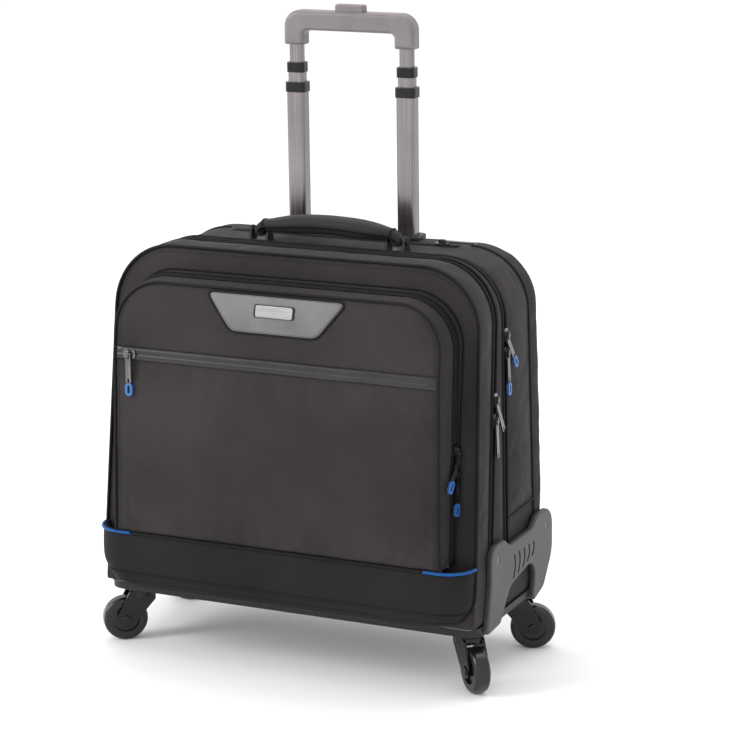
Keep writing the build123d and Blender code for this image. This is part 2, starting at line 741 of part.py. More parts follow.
# ---------------------------------------------------------------- trolley
# Fixed tubes stand in a foot on the tray and end in a bezel on top of the case.
# Three pairs of tubes slide in them, each with a collar round its mouth.
with BuildPart() as tube_foot:
    with BuildSketch(Plane.XY.offset(TRAY_TOP)):
        with Locations((0, TUBE_Y)):
            RectangleRounded(FOOT_SIZE[0], FOOT_SIZE[1], FOOT_RADIUS)
    extrude(amount=FOOT_HEIGHT)
    with BuildSketch(Plane.XY.offset(TRAY_TOP + FOOT_FLOOR)):
        with Locations((-TUBE_X, TUBE_Y), (TUBE_X, TUBE_Y)):
            RectangleRounded(OUTER_TUBE[0], OUTER_TUBE[1], TUBE_RADIUS)
    extrude(amount=FOOT_HEIGHT, mode=Mode.SUBTRACT)
save("tube_foot", tube_foot.part)

outer_top = REAR_TOP + BEZEL_HEIGHT / 2
save("outer_tubes", tube_pair(OUTER_TUBE, TUBE_WALL, TRAY_TOP + FOOT_FLOOR, outer_top))

with BuildPart() as top_bezel:
    with BuildSketch(Plane.XY.offset(REAR_TOP)):
        with Locations((0, TUBE_Y)):
            RectangleRounded(BEZEL_SIZE[0], BEZEL_SIZE[1], BEZEL_RADIUS)
    extrude(amount=BEZEL_HEIGHT)
    fillet(edges().group_by(Axis.Z)[-1], radius=BEZEL_EDGE)
    with BuildSketch(Plane.XY.offset(REAR_TOP)):
        with Locations((-TUBE_X, TUBE_Y), (TUBE_X, TUBE_Y)):
            RectangleRounded(OUTER_TUBE[0], OUTER_TUBE[1], TUBE_RADIUS)
    extrude(amount=BEZEL_HEIGHT / 2, mode=Mode.SUBTRACT)
    with BuildSketch(Plane.XY.offset(REAR_TOP)):
        with Locations((-TUBE_X, TUBE_Y), (TUBE_X, TUBE_Y)):
            Rectangle(STAGE_SIZES[0][0] + 2 * GAP, STAGE_SIZES[0][1] + 2 * GAP)
    extrude(amount=2 * BEZEL_HEIGHT, mode=Mode.SUBTRACT)
save("top_bezel", top_bezel.part)

for number, (size, top) in enumerate(zip(STAGE_SIZES, STAGE_TOPS), start=1):
    save(f"stage_{number}_tubes", tube_pair(size, TUBE_WALL, top - STAGE_LENGTH, top))

for number in (1, 2):
    size = STAGE_SIZES[number - 1]
    top = STAGE_TOPS[number - 1]
    with BuildPart() as collars:
        with BuildSketch(Plane.XY.offset(top - COLLAR_HEIGHT)):
            with Locations((-TUBE_X, TUBE_Y), (TUBE_X, TUBE_Y)):
                RectangleRounded(size[0] + 2 * COLLAR_WALL, size[1] + 2 * COLLAR_WALL, TUBE_RADIUS + 1)
        extrude(amount=COLLAR_HEIGHT + COLLAR_LIP)
        with BuildSketch(Plane.XY.offset(top - COLLAR_HEIGHT)):
            with Locations((-TUBE_X, TUBE_Y), (TUBE_X, TUBE_Y)):
                RectangleRounded(size[0], size[1], TUBE_RADIUS)
        extrude(amount=COLLAR_HEIGHT, mode=Mode.SUBTRACT)
        with BuildSketch(Plane.XY.offset(top)):
            with Locations((-TUBE_X, TUBE_Y), (TUBE_X, TUBE_Y)):
                Rectangle(size[0] - 2 * TUBE_WALL, size[1] - 2 * TUBE_WALL)
        extrude(amount=COLLAR_LIP, mode=Mode.SUBTRACT)
    save(f"stage_{number}_collars", collars.part)

# The grip bridges the top tubes. A channel through it holds the link between the
# button and the two release rods, with a well for the button above.
with BuildPart() as grip:
    with BuildSketch(Plane.XZ.offset(-TUBE_Y - GRIP_SIZE[1] / 2)):
        with BuildLine():
            reach = TUBE_X + GRIP_SIZE[0] / 2
            inner = TUBE_X - GRIP_SIZE[0] / 2
            FilletPolyline(
                (-reach, GRIP_LOW),
                (-reach, GRIP_TOP),
                (reach, GRIP_TOP),
                (reach, GRIP_LOW),
                (inner, GRIP_LOW),
                (inner, GRIP_BAR_LOW),
                (-inner, GRIP_BAR_LOW),
                (-inner, GRIP_LOW),
                radius=[
                    GRIP_EDGE,
                    GRIP_CORNER,
                    GRIP_CORNER,
                    GRIP_EDGE,
                    GRIP_EDGE,
                    GRIP_INNER_CORNER,
                    GRIP_INNER_CORNER,
                    GRIP_EDGE,
                ],
                close=True,
            )
        make_face()
    extrude(amount=GRIP_SIZE[1])
    fillet(faces().sort_by(Axis.Y)[0].edges() + faces().sort_by(Axis.Y)[-1].edges(), radius=GRIP_ROUND)
    with BuildSketch(Plane.XY.offset(GRIP_LOW)):
        with Locations((-TUBE_X, TUBE_Y), (TUBE_X, TUBE_Y)):
            RectangleRounded(STAGE_SIZES[2][0], STAGE_SIZES[2][1], TUBE_RADIUS)
    extrude(amount=STAGE_TOPS[2] - GRIP_LOW, mode=Mode.SUBTRACT)
    with BuildSketch(Plane.XY.offset(STAGE_TOPS[2])):
        with Locations((-TUBE_X, TUBE_Y), (TUBE_X, TUBE_Y)):
            Circle(ROD_RADIUS + 2 * GAP)
    extrude(amount=LINK_Z - STAGE_TOPS[2], mode=Mode.SUBTRACT)
    with BuildSketch(Plane.XY.offset(LINK_Z - BUTTON_TRAVEL - LINK_HEIGHT / 4)):
        with Locations((0, TUBE_Y)):
            Rectangle(2 * TUBE_X + 4 * ROD_RADIUS, LINK_WIDTH + 4 * GAP)
    extrude(amount=LINK_HEIGHT + BUTTON_TRAVEL + LINK_HEIGHT / 4 + GAP, mode=Mode.SUBTRACT)
    with BuildSketch(Plane.XY.offset(LINK_Z + LINK_HEIGHT - BUTTON_TRAVEL - GAP)):
        with Locations((0, TUBE_Y)):
            RectangleRounded(2 * (BUTTON_HALF + GAP), BUTTON_DEPTH + 2 * GAP, BUTTON_CORNER + GAP)
    extrude(amount=GRIP_TOP, mode=Mode.SUBTRACT)
save("grip", grip.part)

with BuildPart() as button:
    with BuildSketch(Plane.XY.offset(LINK_Z + LINK_HEIGHT)):
        with Locations((0, TUBE_Y)):
            RectangleRounded(2 * BUTTON_HALF, BUTTON_DEPTH, BUTTON_CORNER)
    extrude(amount=BUTTON_TOP - LINK_Z - LINK_HEIGHT)
    fillet(edges().group_by(Axis.Z)[-1], radius=BUTTON_EDGE)
save("button", button.part)

with BuildPart() as push_rods:
    with BuildSketch(Plane.XY.offset(LINK_Z)):
        with Locations((0, TUBE_Y)):
            Rectangle(2 * TUBE_X + 2 * ROD_RADIUS, LINK_WIDTH)
    extrude(amount=LINK_HEIGHT)
    with BuildSketch(Plane.XY.offset(STAGE_TOPS[2] - STAGE_LENGTH + COLLAR_HEIGHT)):
        with Locations((-TUBE_X, TUBE_Y), (TUBE_X, TUBE_Y)):
            Circle(ROD_RADIUS)
    extrude(amount=LINK_Z + 1 - STAGE_TOPS[2] + STAGE_LENGTH - COLLAR_HEIGHT)
save("push_rods", push_rods.part)

# A short helical spring under the link brings the button back up.
spring_low = LINK_Z - BUTTON_TRAVEL - LINK_HEIGHT / 4
with BuildPart() as button_spring:
    spring_rise = LINK_Z - spring_low - 2 * SPRING_WIRE
    with BuildLine() as coil:
        Helix(
            spring_rise / SPRING_TURNS,
            spring_rise,
            SPRING_RADIUS,
            center=(0, TUBE_Y, spring_low + SPRING_WIRE),
        )
    with BuildSketch(Plane(coil.line @ 0, z_dir=coil.line % 0)):
        Circle(SPRING_WIRE)
    sweep(path=coil.line, is_frenet=True)
save("button_spring", button_spring.part)

# ---------------------------------------------------------------- carry handle
# Metal mounts on top of the case carry a pin at each foot of the padded handle.
with BuildPart() as handle_mounts:
    for side in (-1, 1):
        with BuildSketch(Plane.XY.offset(REAR_TOP)):
            with Locations((side * HANDLE_FOOT_X, HANDLE_Y)):
                RectangleRounded(HANDLE_FOOT_WIDTH + 4 * MOUNT_EAR, 2 * MOUNT_HALF, MOUNT_CORNER)
        extrude(amount=MOUNT_PLATE)
        for ear in (-1, 1):
            near = side * HANDLE_FOOT_X + ear * (HANDLE_FOOT_WIDTH / 2 + 2 * GAP)
            with BuildSketch(Plane.YZ.offset(near)):
                with BuildLine():
                    ThreePointArc(
                        (HANDLE_Y - MOUNT_ROUND, HANDLE_PIN_Z),
                        (HANDLE_Y, HANDLE_PIN_Z + MOUNT_ROUND),
                        (HANDLE_Y + MOUNT_ROUND, HANDLE_PIN_Z),
                    )
                    Polyline(
                        (HANDLE_Y + MOUNT_ROUND, HANDLE_PIN_Z),
                        (HANDLE_Y + MOUNT_HALF, REAR_TOP),
                        (HANDLE_Y - MOUNT_HALF, REAR_TOP),
                        (HANDLE_Y - MOUNT_ROUND, HANDLE_PIN_Z),
                    )
                make_face()
            extrude(amount=ear * MOUNT_EAR)
        inner_end = side * (HANDLE_FOOT_X - HANDLE_FOOT_WIDTH / 2 - MOUNT_EAR)
        outer_end = side * (HANDLE_FOOT_X + HANDLE_FOOT_WIDTH / 2 + 2 * GAP + MOUNT_EAR)
        with BuildSketch(Plane.YZ.offset(inner_end)):
            with Locations((HANDLE_Y, HANDLE_PIN_Z)):
                Circle(HANDLE_PIN_RADIUS)
        extrude(amount=outer_end - inner_end)
        with BuildSketch(Plane.YZ.offset(outer_end)):
            with Locations((HANDLE_Y, HANDLE_PIN_Z)):
                Circle(HANDLE_PIN_RADIUS + RIVET_RIM)
        extrude(amount=side * RIVET_HEAD)
save("handle_mounts", handle_mounts.part)

with BuildPart() as carry_handle:
    foot_out = HANDLE_FOOT_X + HANDLE_FOOT_WIDTH / 2
    foot_in = HANDLE_FOOT_X - HANDLE_FOOT_WIDTH / 2
    foot_low = HANDLE_PIN_Z - HANDLE_FOOT_RADIUS
    foot_round = HANDLE_FOOT_RADIUS - 0.5
    with BuildSketch(Plane.XZ.offset(-THROUGH)):
        with BuildLine():
            FilletPolyline(
                (-foot_out, foot_low),
                (-foot_out, HANDLE_TOP - HANDLE_PAD),
                (-foot_in, HANDLE_TOP),
                (foot_in, HANDLE_TOP),
                (foot_out, HANDLE_TOP - HANDLE_PAD),
                (foot_out, foot_low),
                (foot_in, foot_low),
                (foot_in, HANDLE_TOP - HANDLE_PAD),
                (-foot_in, HANDLE_TOP - HANDLE_PAD),
                (-foot_in, foot_low),
                radius=[1.0, 8.0, 10.0, 10.0, 8.0, 1.0, 1.0, 6.0, 6.0, 1.0],
                close=True,
            )
        make_face()
    extrude(amount=2 * THROUGH)
    with BuildSketch(Plane.YZ.offset(-THROUGH)):
        with BuildLine():
            FilletPolyline(
                (HANDLE_Y - HANDLE_FOOT_RADIUS, foot_low),
                (HANDLE_Y - HANDLE_FOOT_RADIUS, HANDLE_PIN_Z + 1),
                (HANDLE_Y - HANDLE_DEPTH / 2, HANDLE_TOP - HANDLE_PAD + 1),
                (HANDLE_Y - HANDLE_DEPTH / 2, HANDLE_TOP),
                (HANDLE_Y + HANDLE_DEPTH / 2, HANDLE_TOP),
                (HANDLE_Y + HANDLE_DEPTH / 2, HANDLE_TOP - HANDLE_PAD + 1),
                (HANDLE_Y + HANDLE_FOOT_RADIUS, HANDLE_PIN_Z + 1),
                (HANDLE_Y + HANDLE_FOOT_RADIUS, foot_low),
                radius=[foot_round, 1.0, 4.0, 4.5, 4.5, 4.0, 1.0, foot_round],
                close=True,
            )
        make_face()
    extrude(amount=2 * THROUGH, mode=Mode.INTERSECT)
    with BuildSketch(Plane.YZ.offset(-THROUGH)):
        with Locations((HANDLE_Y, HANDLE_PIN_Z)):
            Circle(HANDLE_PIN_RADIUS + SHAFT_CLEARANCE)
    extrude(amount=2 * THROUGH, mode=Mode.SUBTRACT)
save("carry_handle", carry_handle.part)


# ---------------------------------------------------------------- casters
def caster_fork():
    """Fork with its stem and riveted axle, swivel axis at the origin, trailing along +X."""
    arm_in = WHEEL_WIDTH / 2 + FORK_GAP
    arm_out = arm_in + FORK_ARM
    crown_top = POD_LOW - GAP
    with BuildPart() as fork:
        for side in (-1, 1):
            with BuildSketch(Plane.XZ.offset(side * arm_in)):
                with BuildLine():
                    FilletPolyline(
                        (-FORK_NOSE, crown_top),
                        (FORK_NOSE + 1, crown_top),
                        (TRAIL + FORK_EYE, WHEEL_RADIUS + 5),
                        (TRAIL + 6, WHEEL_RADIUS - FORK_DROP),
                        (TRAIL - 6, WHEEL_RADIUS - FORK_DROP),
                        (-FORK_NOSE, crown_top - FORK_CHEEK),
                        radius=[2.0, 4.0, 6.0, 4.0, 4.0, 4.0],
                        close=True,
                    )
                make_face()
            extrude(amount=side * FORK_ARM)
        with BuildSketch(Plane.XY.offset(2 * WHEEL_RADIUS + 2 * GAP)):
            Circle(FORK_NOSE)
            Rectangle(1.5 * POD_RADIUS, 2 * arm_out)
        extrude(amount=crown_top - 2 * WHEEL_RADIUS - 2 * GAP)
        with BuildSketch(Plane.XY.offset(crown_top)):
            Circle(STEM_RADIUS)
        extrude(amount=STEM_TOP - crown_top)
        with BuildSketch(Plane.XZ.offset(-arm_out)):
            with Locations((TRAIL, WHEEL_RADIUS)):
                Circle(AXLE_RADIUS)
        extrude(amount=2 * arm_out, mode=Mode.SUBTRACT)
    with BuildPart() as axle:
        with BuildSketch(Plane.XZ.offset(-arm_out)):
            with Locations((TRAIL, WHEEL_RADIUS)):
                Circle(AXLE_RADIUS)
        extrude(amount=2 * arm_out)
        for side in (-1, 1):
            with BuildSketch(Plane.XZ.offset(side * arm_out)):
                with Locations((TRAIL, WHEEL_RADIUS)):
                    Circle(AXLE_RADIUS + AXLE_HEAD)
            extrude(amount=side * RIVET_HEAD)
            head = faces().sort_by(Axis.Y)[0 if side > 0 else -1]
            fillet(head.edges(), radius=RIVET_EDGE)
    return Compound([fork.part.solid(), axle.part.solid()])


def caster_wheel():
    """Hub and tyre as two solids, on an axle along Y at the caster's trail."""
    half = WHEEL_WIDTH / 2
    with BuildPart() as hub:
        with BuildSketch(Plane.XZ.offset(-half)):
            with Locations((TRAIL, WHEEL_RADIUS)):
                Circle(RIM_RADIUS)
        extrude(amount=WHEEL_WIDTH)
        for side in (-1, 1):
            with BuildSketch(Plane.XZ.offset(side * half)):
                with Locations((TRAIL, WHEEL_RADIUS)):
                    Circle(RIM_RADIUS - RIM_LIP)
                    Circle(AXLE_RADIUS + HUB_BOSS, mode=Mode.SUBTRACT)
            extrude(amount=-side * HUB_DISH, mode=Mode.SUBTRACT)
        with BuildSketch(Plane.XZ.offset(-half)):
            with Locations((TRAIL, WHEEL_RADIUS)):
                Circle(AXLE_RADIUS + SHAFT_CLEARANCE)
        extrude(amount=WHEEL_WIDTH, mode=Mode.SUBTRACT)
    with BuildPart() as tyre:
        with BuildSketch(Plane.XZ.offset(-half)):
            with Locations((TRAIL, WHEEL_RADIUS)):
                Circle(WHEEL_RADIUS)
        extrude(amount=WHEEL_WIDTH)
        fillet(edges(), radius=TYRE_ROUND)
        with BuildSketch(Plane.XZ.offset(-half)):
            with Locations((TRAIL, WHEEL_RADIUS)):
                Circle(RIM_RADIUS)
        extrude(amount=WHEEL_WIDTH, mode=Mode.SUBTRACT)
    return Compound([hub.part.solid(), tyre.part.solid()])


fork_shape = caster_fork()
wheel_shape = caster_wheel()
for corner_name, heading in CASTER_HEADINGS.items():
    x = CASTER_X if "right" in corner_name else -CASTER_X
    y = CASTER_FRONT_Y if "front" in corner_name else CASTER_REAR_Y
    place = Location((x, y, 0), (0, 0, heading))
    save("fork_" + corner_name, placed(fork_shape, place))
    save("wheel_" + corner_name, placed(wheel_shape, place))


# ---------------------------------------------------------------- zip sliders
def zip_slider(along_x):
    """Slider on a zip in the XY plane, with a bail for a tab that hangs towards -Y."""
    size = (SLIDER_LENGTH, SLIDER_WIDTH) if along_x else (SLIDER_WIDTH, SLIDER_LENGTH)
    with BuildPart() as slider:
        with BuildSketch(Plane.XY.offset(SLIDER_LIFT)):
            RectangleRounded(size[0], size[1], SLIDER_CORNER)
        extrude(amount=SLIDER_TOP - SLIDER_LIFT)
        with BuildSketch(Plane.YZ.offset(-BAIL_WIDTH / 2)):
            with BuildLine():
                FilletPolyline(
                    (-BAIL_HALF, SLIDER_TOP - SLIDER_LIFT),
                    (-BAIL_HALF, BAIL_TOP),
                    (BAIL_HALF, BAIL_TOP),
                    (BAIL_HALF, SLIDER_TOP - SLIDER_LIFT),
                    radius=[0.2, 2.0, 2.0, 0.2],
                    close=True,
                )
            make_face()
            with Locations((0, PIN_HEIGHT)):
                Circle(PIN_RADIUS + SHAFT_CLEARANCE, mode=Mode.SUBTRACT)
        extrude(amount=BAIL_WIDTH)
    return slider.part


def pull_tab(swing, ring):
    """Pull tab that hangs from a slider's bail; its plate may hang askew by some degrees."""
    arm_in = BAIL_WIDTH / 2 + GAP
    arm_out = arm_in + TAB_ARM
    low = PIN_HEIGHT - TAB_THICKNESS / 2
    length = TAB_LENGTH if ring else TAB_LENGTH + TAB_EXTRA
    hang = Plane((0, -TAB_REACH, low)).rotated((0, 0, swing))
    with BuildPart() as tab:
        with BuildSketch(Plane.YZ.offset(-arm_out)):
            with Locations((0, PIN_HEIGHT)):
                Circle(PIN_RADIUS + TAB_EYE)
            with Locations((-3, PIN_HEIGHT)):
                Rectangle(6, TAB_THICKNESS)
        extrude(amount=arm_out - arm_in)
        with BuildSketch(Plane.YZ.offset(arm_in)):
            with Locations((0, PIN_HEIGHT)):
                Circle(PIN_RADIUS + TAB_EYE)
            with Locations((-3, PIN_HEIGHT)):
                Rectangle(6, TAB_THICKNESS)
        extrude(amount=arm_out - arm_in)
        with BuildSketch(Plane.YZ.offset(-arm_out)):
            with Locations((0, PIN_HEIGHT)):
                Circle(PIN_RADIUS)
        extrude(amount=2 * arm_out)
        with BuildSketch(hang):
            Circle(arm_out)
            with Locations((0, -length / 2)):
                RectangleRounded(TAB_WIDTH, length, 1.4)
            with Locations((0, 2 - length)):
                SlotOverall(5.0, 2.0, rotation=90, mode=Mode.SUBTRACT)
        extrude(amount=TAB_THICKNESS)
        with BuildSketch(Plane.XY.offset(low - 1)):
            Rectangle(2 * arm_in, 9)
        extrude(amount=TAB_THICKNESS + 2, mode=Mode.SUBTRACT)
        with BuildSketch(Plane.YZ.offset(-arm_in)):
            with Locations((0, PIN_HEIGHT)):
                Circle(PIN_RADIUS)
        extrude(amount=2 * arm_in)
    if not ring:
        return tab.part
    hole = (RING_LENGTH - 2 * RING_BAR, RING_WIDTH - 2 * RING_BAR)
    with BuildPart() as loop:
        with BuildSketch(hang.offset(-RING_PROUD)):
            with Locations((0, -length - RING_LENGTH / 2)):
                SlotOverall(RING_LENGTH, RING_WIDTH, rotation=90)
                SlotOverall(hole[0], hole[1], rotation=90, mode=Mode.SUBTRACT)
        extrude(amount=TAB_THICKNESS + 2 * RING_PROUD)
    return Compound([tab.part.solid(), loop.part.solid()])


def side_plane(edge, inset, z):
    """Plane on the tapering side of the body, on a zip line: Y runs up the zip."""
    slope = (BODY_HALF - BODY_TOP_HALF) / (BODY_TOP - TAPER_Z)
    run = (edge[1] - edge[0]) / (BODY_TOP - BODY_LOW)
    x = BODY_HALF - inset - slope * (z - TAPER_Z)
    up = Vector(-slope, run, 1).normalized()
    out = Vector(1, 0, slope).normalized()
    return Plane((x, lean(edge, z), z), x_dir=up.cross(out), z_dir=out)


def pocket_plane(z):
    """Plane on the pocket's right side, on its zip line: Y runs up the zip."""
    slope = (POCKET_HALF - POCKET_TOP_HALF) / (POCKET_TOP - BAND_TOP)
    flare = math.tan(math.radians(POCKET_FLARE))
    run = (POCKET_ZIP[1] - POCKET_ZIP[0]) / (BODY_TOP - BODY_LOW)
    y = lean(POCKET_ZIP, z)
    x = POCKET_HALF - slope * (z - BAND_TOP) + flare * (y - POCKET_BASE_Y)
    up = Vector(flare * run - slope, run, 1).normalized()
    out = Vector(1, -flare, slope).normalized()
    return Plane((x, y, z), x_dir=up.cross(out), z_dir=out)


panel_y = PANEL_BEND[0] - TAPE_SKIN + (SLIP_ZIP_Z - PANEL_BEND[1]) * SLIP_SLOPE
slip_place = (SLIDER_LENGTH - SLIP_ZIP_HALF, panel_y, SLIP_ZIP_Z)
slip_plane = Plane(slip_place, x_dir=(1, 0, 0), z_dir=(0, -1, SLIP_SLOPE))
top_place = (TOP_ZIP_HALF - 17.0, TOP_ZIP_Y, REAR_TOP + TAPE_SKIN)
top_plane = Plane(top_place, x_dir=(0, 1, 0), z_dir=(0, 0, 1))

# Each slider: its plane, whether the zip runs across the tab, the tab's swing, blue ring
SLIDERS = {
    "slip_zip": (slip_plane, True, 3.0, True),
    "pocket_zip_upper": (pocket_plane(246.0), False, -26.0, True),
    "pocket_zip_lower": (pocket_plane(225.0), False, -4.0, True),
    "front_zip_upper": (side_plane(FRONT_ZIP, TAPE_INSET, 286.0), False, 34.0, False),
    "front_zip_lower": (side_plane(FRONT_ZIP, TAPE_INSET, 266.0), False, 8.0, False),
    "rear_zip_upper": (side_plane(REAR_ZIP, laptop_tape_inset, 343.0), False, 38.0, True),
    "rear_zip_lower": (side_plane(REAR_ZIP, laptop_tape_inset, 325.0), False, 4.0, True),
    "top_zip": (top_plane, False, 0.0, False),
}
for zip_name, (plane, along_x, swing, ring) in SLIDERS.items():
    save("slider_" + zip_name, placed(zip_slider(along_x), plane.location))
    save("tab_" + zip_name, placed(pull_tab(swing, ring), plane.location))
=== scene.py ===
# %% [markdown]
# # A rolling laptop case, piece by piece
# This lesson builds the looks of a soft-sided business case on four casters.
# The hard parts (tubes, brackets, wheels, sliders) come from the CAD model and only get
# better materials. Everything that is cloth on the real case is made again here as a
# padded skin, with seams, piping, zips and stitches, and rides on the same moving body
# as the solid that it stands for. Sizes are in millimetres until a mesh is made.

import math

import bmesh
import bpy
import numpy as np
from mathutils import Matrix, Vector, noise


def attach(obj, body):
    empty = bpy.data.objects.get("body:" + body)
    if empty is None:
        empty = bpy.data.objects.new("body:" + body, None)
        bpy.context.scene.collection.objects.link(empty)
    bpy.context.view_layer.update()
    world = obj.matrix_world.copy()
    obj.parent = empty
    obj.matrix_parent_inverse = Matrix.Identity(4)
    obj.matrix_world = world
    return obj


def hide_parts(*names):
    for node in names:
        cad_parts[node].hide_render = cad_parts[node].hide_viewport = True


MM = 0.001
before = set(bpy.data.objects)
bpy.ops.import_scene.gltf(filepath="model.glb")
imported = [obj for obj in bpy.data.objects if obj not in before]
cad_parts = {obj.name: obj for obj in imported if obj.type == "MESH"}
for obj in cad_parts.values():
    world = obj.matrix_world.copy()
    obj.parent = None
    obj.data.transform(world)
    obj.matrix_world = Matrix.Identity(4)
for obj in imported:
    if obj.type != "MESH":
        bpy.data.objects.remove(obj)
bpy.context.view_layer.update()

# %% [markdown]
# ## The camera
# The camera comes first, so that every later piece can be judged from it. It looks down
# a little at the case's right front corner from almost three metres with a long lens,
# which keeps the upright edges nearly parallel. Its place is worked out from an azimuth,
# an elevation and a distance from a point inside the case.

# %% Place the camera
CAMERA_AZIMUTH = math.radians(26.06)
CAMERA_ELEVATION = math.radians(15.05)
CAMERA_ROLL = math.radians(1.02)
CAMERA_DISTANCE = 2.778
CAMERA_TARGET = Vector((0.0, 0.0, 0.25))
LENS_MM, SENSOR_MM = 134.7, 36.0
LENS_SHIFT = (0.0666, 0.0576)


def make_camera():
    back = Vector(
        (
            math.sin(CAMERA_AZIMUTH) * math.cos(CAMERA_ELEVATION),
            -math.cos(CAMERA_AZIMUTH) * math.cos(CAMERA_ELEVATION),
            math.sin(CAMERA_ELEVATION),
        )
    )
    level = Vector((math.cos(CAMERA_AZIMUTH), math.sin(CAMERA_AZIMUTH), 0.0))
    up = back.cross(level)
    right = level * math.cos(CAMERA_ROLL) - up * math.sin(CAMERA_ROLL)
    above = level * math.sin(CAMERA_ROLL) + up * math.cos(CAMERA_ROLL)
    data = bpy.data.cameras.new("camera")
    data.lens, data.sensor_width = LENS_MM, SENSOR_MM
    data.shift_x, data.shift_y = LENS_SHIFT
    data.clip_end = 50.0
    camera = bpy.data.objects.new("camera", data)
    bpy.context.scene.collection.objects.link(camera)
    place = camera.matrix_world.copy()
    for column, axis in enumerate((right, above, back)):
        for row in range(3):
            place[row][column] = axis[row]
    place.translation = CAMERA_TARGET + back * CAMERA_DISTANCE
    camera.matrix_world = place
    bpy.context.scene.camera = camera
    return camera


camera = make_camera()
print("camera at", tuple(round(v, 3) for v in camera.matrix_world.translation))

# %% [markdown]
# ## Floor and light
# Black cloth only shows its folds where a broad light grazes it, so the studio has large
# soft panels: a key from the front left, a weaker fill from the right, a strip above that
# rims the top edges, and a white world that keeps the floor white up to the horizon.

# %% Studio
FLOOR_HALF = 9.0
FLOOR_WHITE = (0.98, 0.98, 0.98, 1.0)
SKY_STRENGTH = 1.03


def area_light(name, place, aim_height, size, power):
    data = bpy.data.lights.new(name, "AREA")
    data.shape, data.size, data.size_y = "RECTANGLE", *size
    data.energy = power
    lamp = bpy.data.objects.new(name, data)
    bpy.context.scene.collection.objects.link(lamp)
    lamp.location = place
    direction = Vector((0.0, 0.0, aim_height)) - lamp.location
    lamp.rotation_euler = direction.to_track_quat("-Z", "Y").to_euler()


def make_floor():
    mesh = bpy.data.meshes.new("studio_floor")
    corners = [(x * FLOOR_HALF, y * FLOOR_HALF, 0.0) for x, y in ((-1, -1), (1, -1), (1, 1), (-1, 1))]
    mesh.from_pydata(corners, [], [(0, 1, 2, 3)])
    floor = bpy.data.objects.new("studio_floor", mesh)
    bpy.context.scene.collection.objects.link(floor)
    paint = bpy.data.materials.new("studio_white")
    paint.use_nodes = True
    shader = paint.node_tree.nodes["Principled BSDF"]
    shader.inputs["Base Color"].default_value = FLOOR_WHITE
    shader.inputs["Roughness"].default_value = 0.7
    mesh.materials.append(paint)


make_floor()
world = bpy.data.worlds.new("studio_world")
world.use_nodes = True
sky = world.node_tree.nodes["Background"].inputs
sky["Color"].default_value, sky["Strength"].default_value = (1.0, 1.0, 1.0, 1.0), SKY_STRENGTH
bpy.context.scene.world = world
bpy.context.scene.view_settings.view_transform = "Standard"
area_light("key_panel", (-2.3, -2.1, 1.8), 0.25, (1.0, 1.9), 66.0)
area_light("fill_panel", (2.2, -2.2, 1.2), 0.2, (0.9, 1.8), 6.0)
area_light("top_strip", (0.1, 0.5, 2.4), 0.3, (2.0, 0.8), 16.0)
print("lights", len(bpy.data.lights))

# %% [markdown]
# ## Finishes
# Each finish is a small tree of procedural nodes on the Principled shader. Three things
# repeat: a fine pattern at its true scale (yarn, moulded grain or brush lines), a slow
# mottling so that no large area is one flat colour, and a bump from the same pattern. On
# the cloth the slowest mottling is painted light: broad streaks of light and shade.
# Object coordinates are used throughout, so the pattern is tied to the piece and needs
# no unwrapping.

# %% Node helpers
def hue(code):
    """Linear colour from an sRGB hex code."""
    channels = [int(code[i : i + 2], 16) / 255 for i in (0, 2, 4)]
    linear = [c / 12.92 if c <= 0.04045 else ((c + 0.055) / 1.055) ** 2.4 for c in channels]
    return (*linear, 1.0)


def add_node(tree, kind, sockets=None, **settings):
    """New node with its settings made and its sockets set or linked."""
    node = tree.nodes.new(kind)
    for key, value in settings.items():
        setattr(node, key, value)
    for key, value in (sockets or {}).items():  # a key is a socket's name or its number
        if isinstance(value, bpy.types.NodeSocket):
            tree.links.new(value, node.inputs[key])
        else:
            node.inputs[key].default_value = value
    return node


def new_finish(name, **sockets):
    """Material with a Principled shader whose plain values are set on its own sockets."""
    paint = bpy.data.materials.new(name)
    paint.use_nodes = True
    shader = paint.node_tree.nodes["Principled BSDF"]
    for key, value in sockets.items():
        shader.inputs[key.replace("_", " ")].default_value = value
    return paint, paint.node_tree, shader


def place_of(tree):
    return add_node(tree, "ShaderNodeTexCoord").outputs["Object"]


def noise_of(tree, place, scale, detail=2.0, rough=0.5):
    sockets = {"Vector": place, "Scale": scale, "Detail": detail, "Roughness": rough}
    return add_node(tree, "ShaderNodeTexNoise", sockets).outputs["Fac"]


def wave_of(tree, place, scale, direction, distortion):
    sockets = {"Vector": place, "Scale": scale, "Distortion": distortion, "Detail": 1.0}
    return add_node(tree, "ShaderNodeTexWave", sockets, bands_direction=direction).outputs["Fac"]


def sum_of(tree, first, second, share):
    """first + second * share."""
    sockets = {0: second, 1: share, 2: first}
    return add_node(tree, "ShaderNodeMath", sockets, operation="MULTIPLY_ADD").outputs[0]


def spread_of(tree, value, low, high, onto=(0.0, 1.0)):
    sockets = {"Value": value, "From Min": low, "From Max": high, "To Min": onto[0], "To Max": onto[1]}
    return add_node(tree, "ShaderNodeMapRange", sockets).outputs["Result"]


def blend_of(tree, share, dark, light):
    """Colour between two hex codes."""
    sockets = {0: share, 6: hue(dark), 7: hue(light)}
    return add_node(tree, "ShaderNodeMix", sockets, data_type="RGBA").outputs[2]


def paint_with(tree, shader, colour, roughness):
    tree.links.new(colour, shader.inputs["Base Color"])
    tree.links.new(roughness, shader.inputs["Roughness"])


def emboss(tree, shader, height, distance, strength):
    sockets = {"Height": height, "Distance": distance, "Strength": strength}
    bump = add_node(tree, "ShaderNodeBump", sockets)
    tree.links.new(bump.outputs["Normal"], shader.inputs["Normal"])
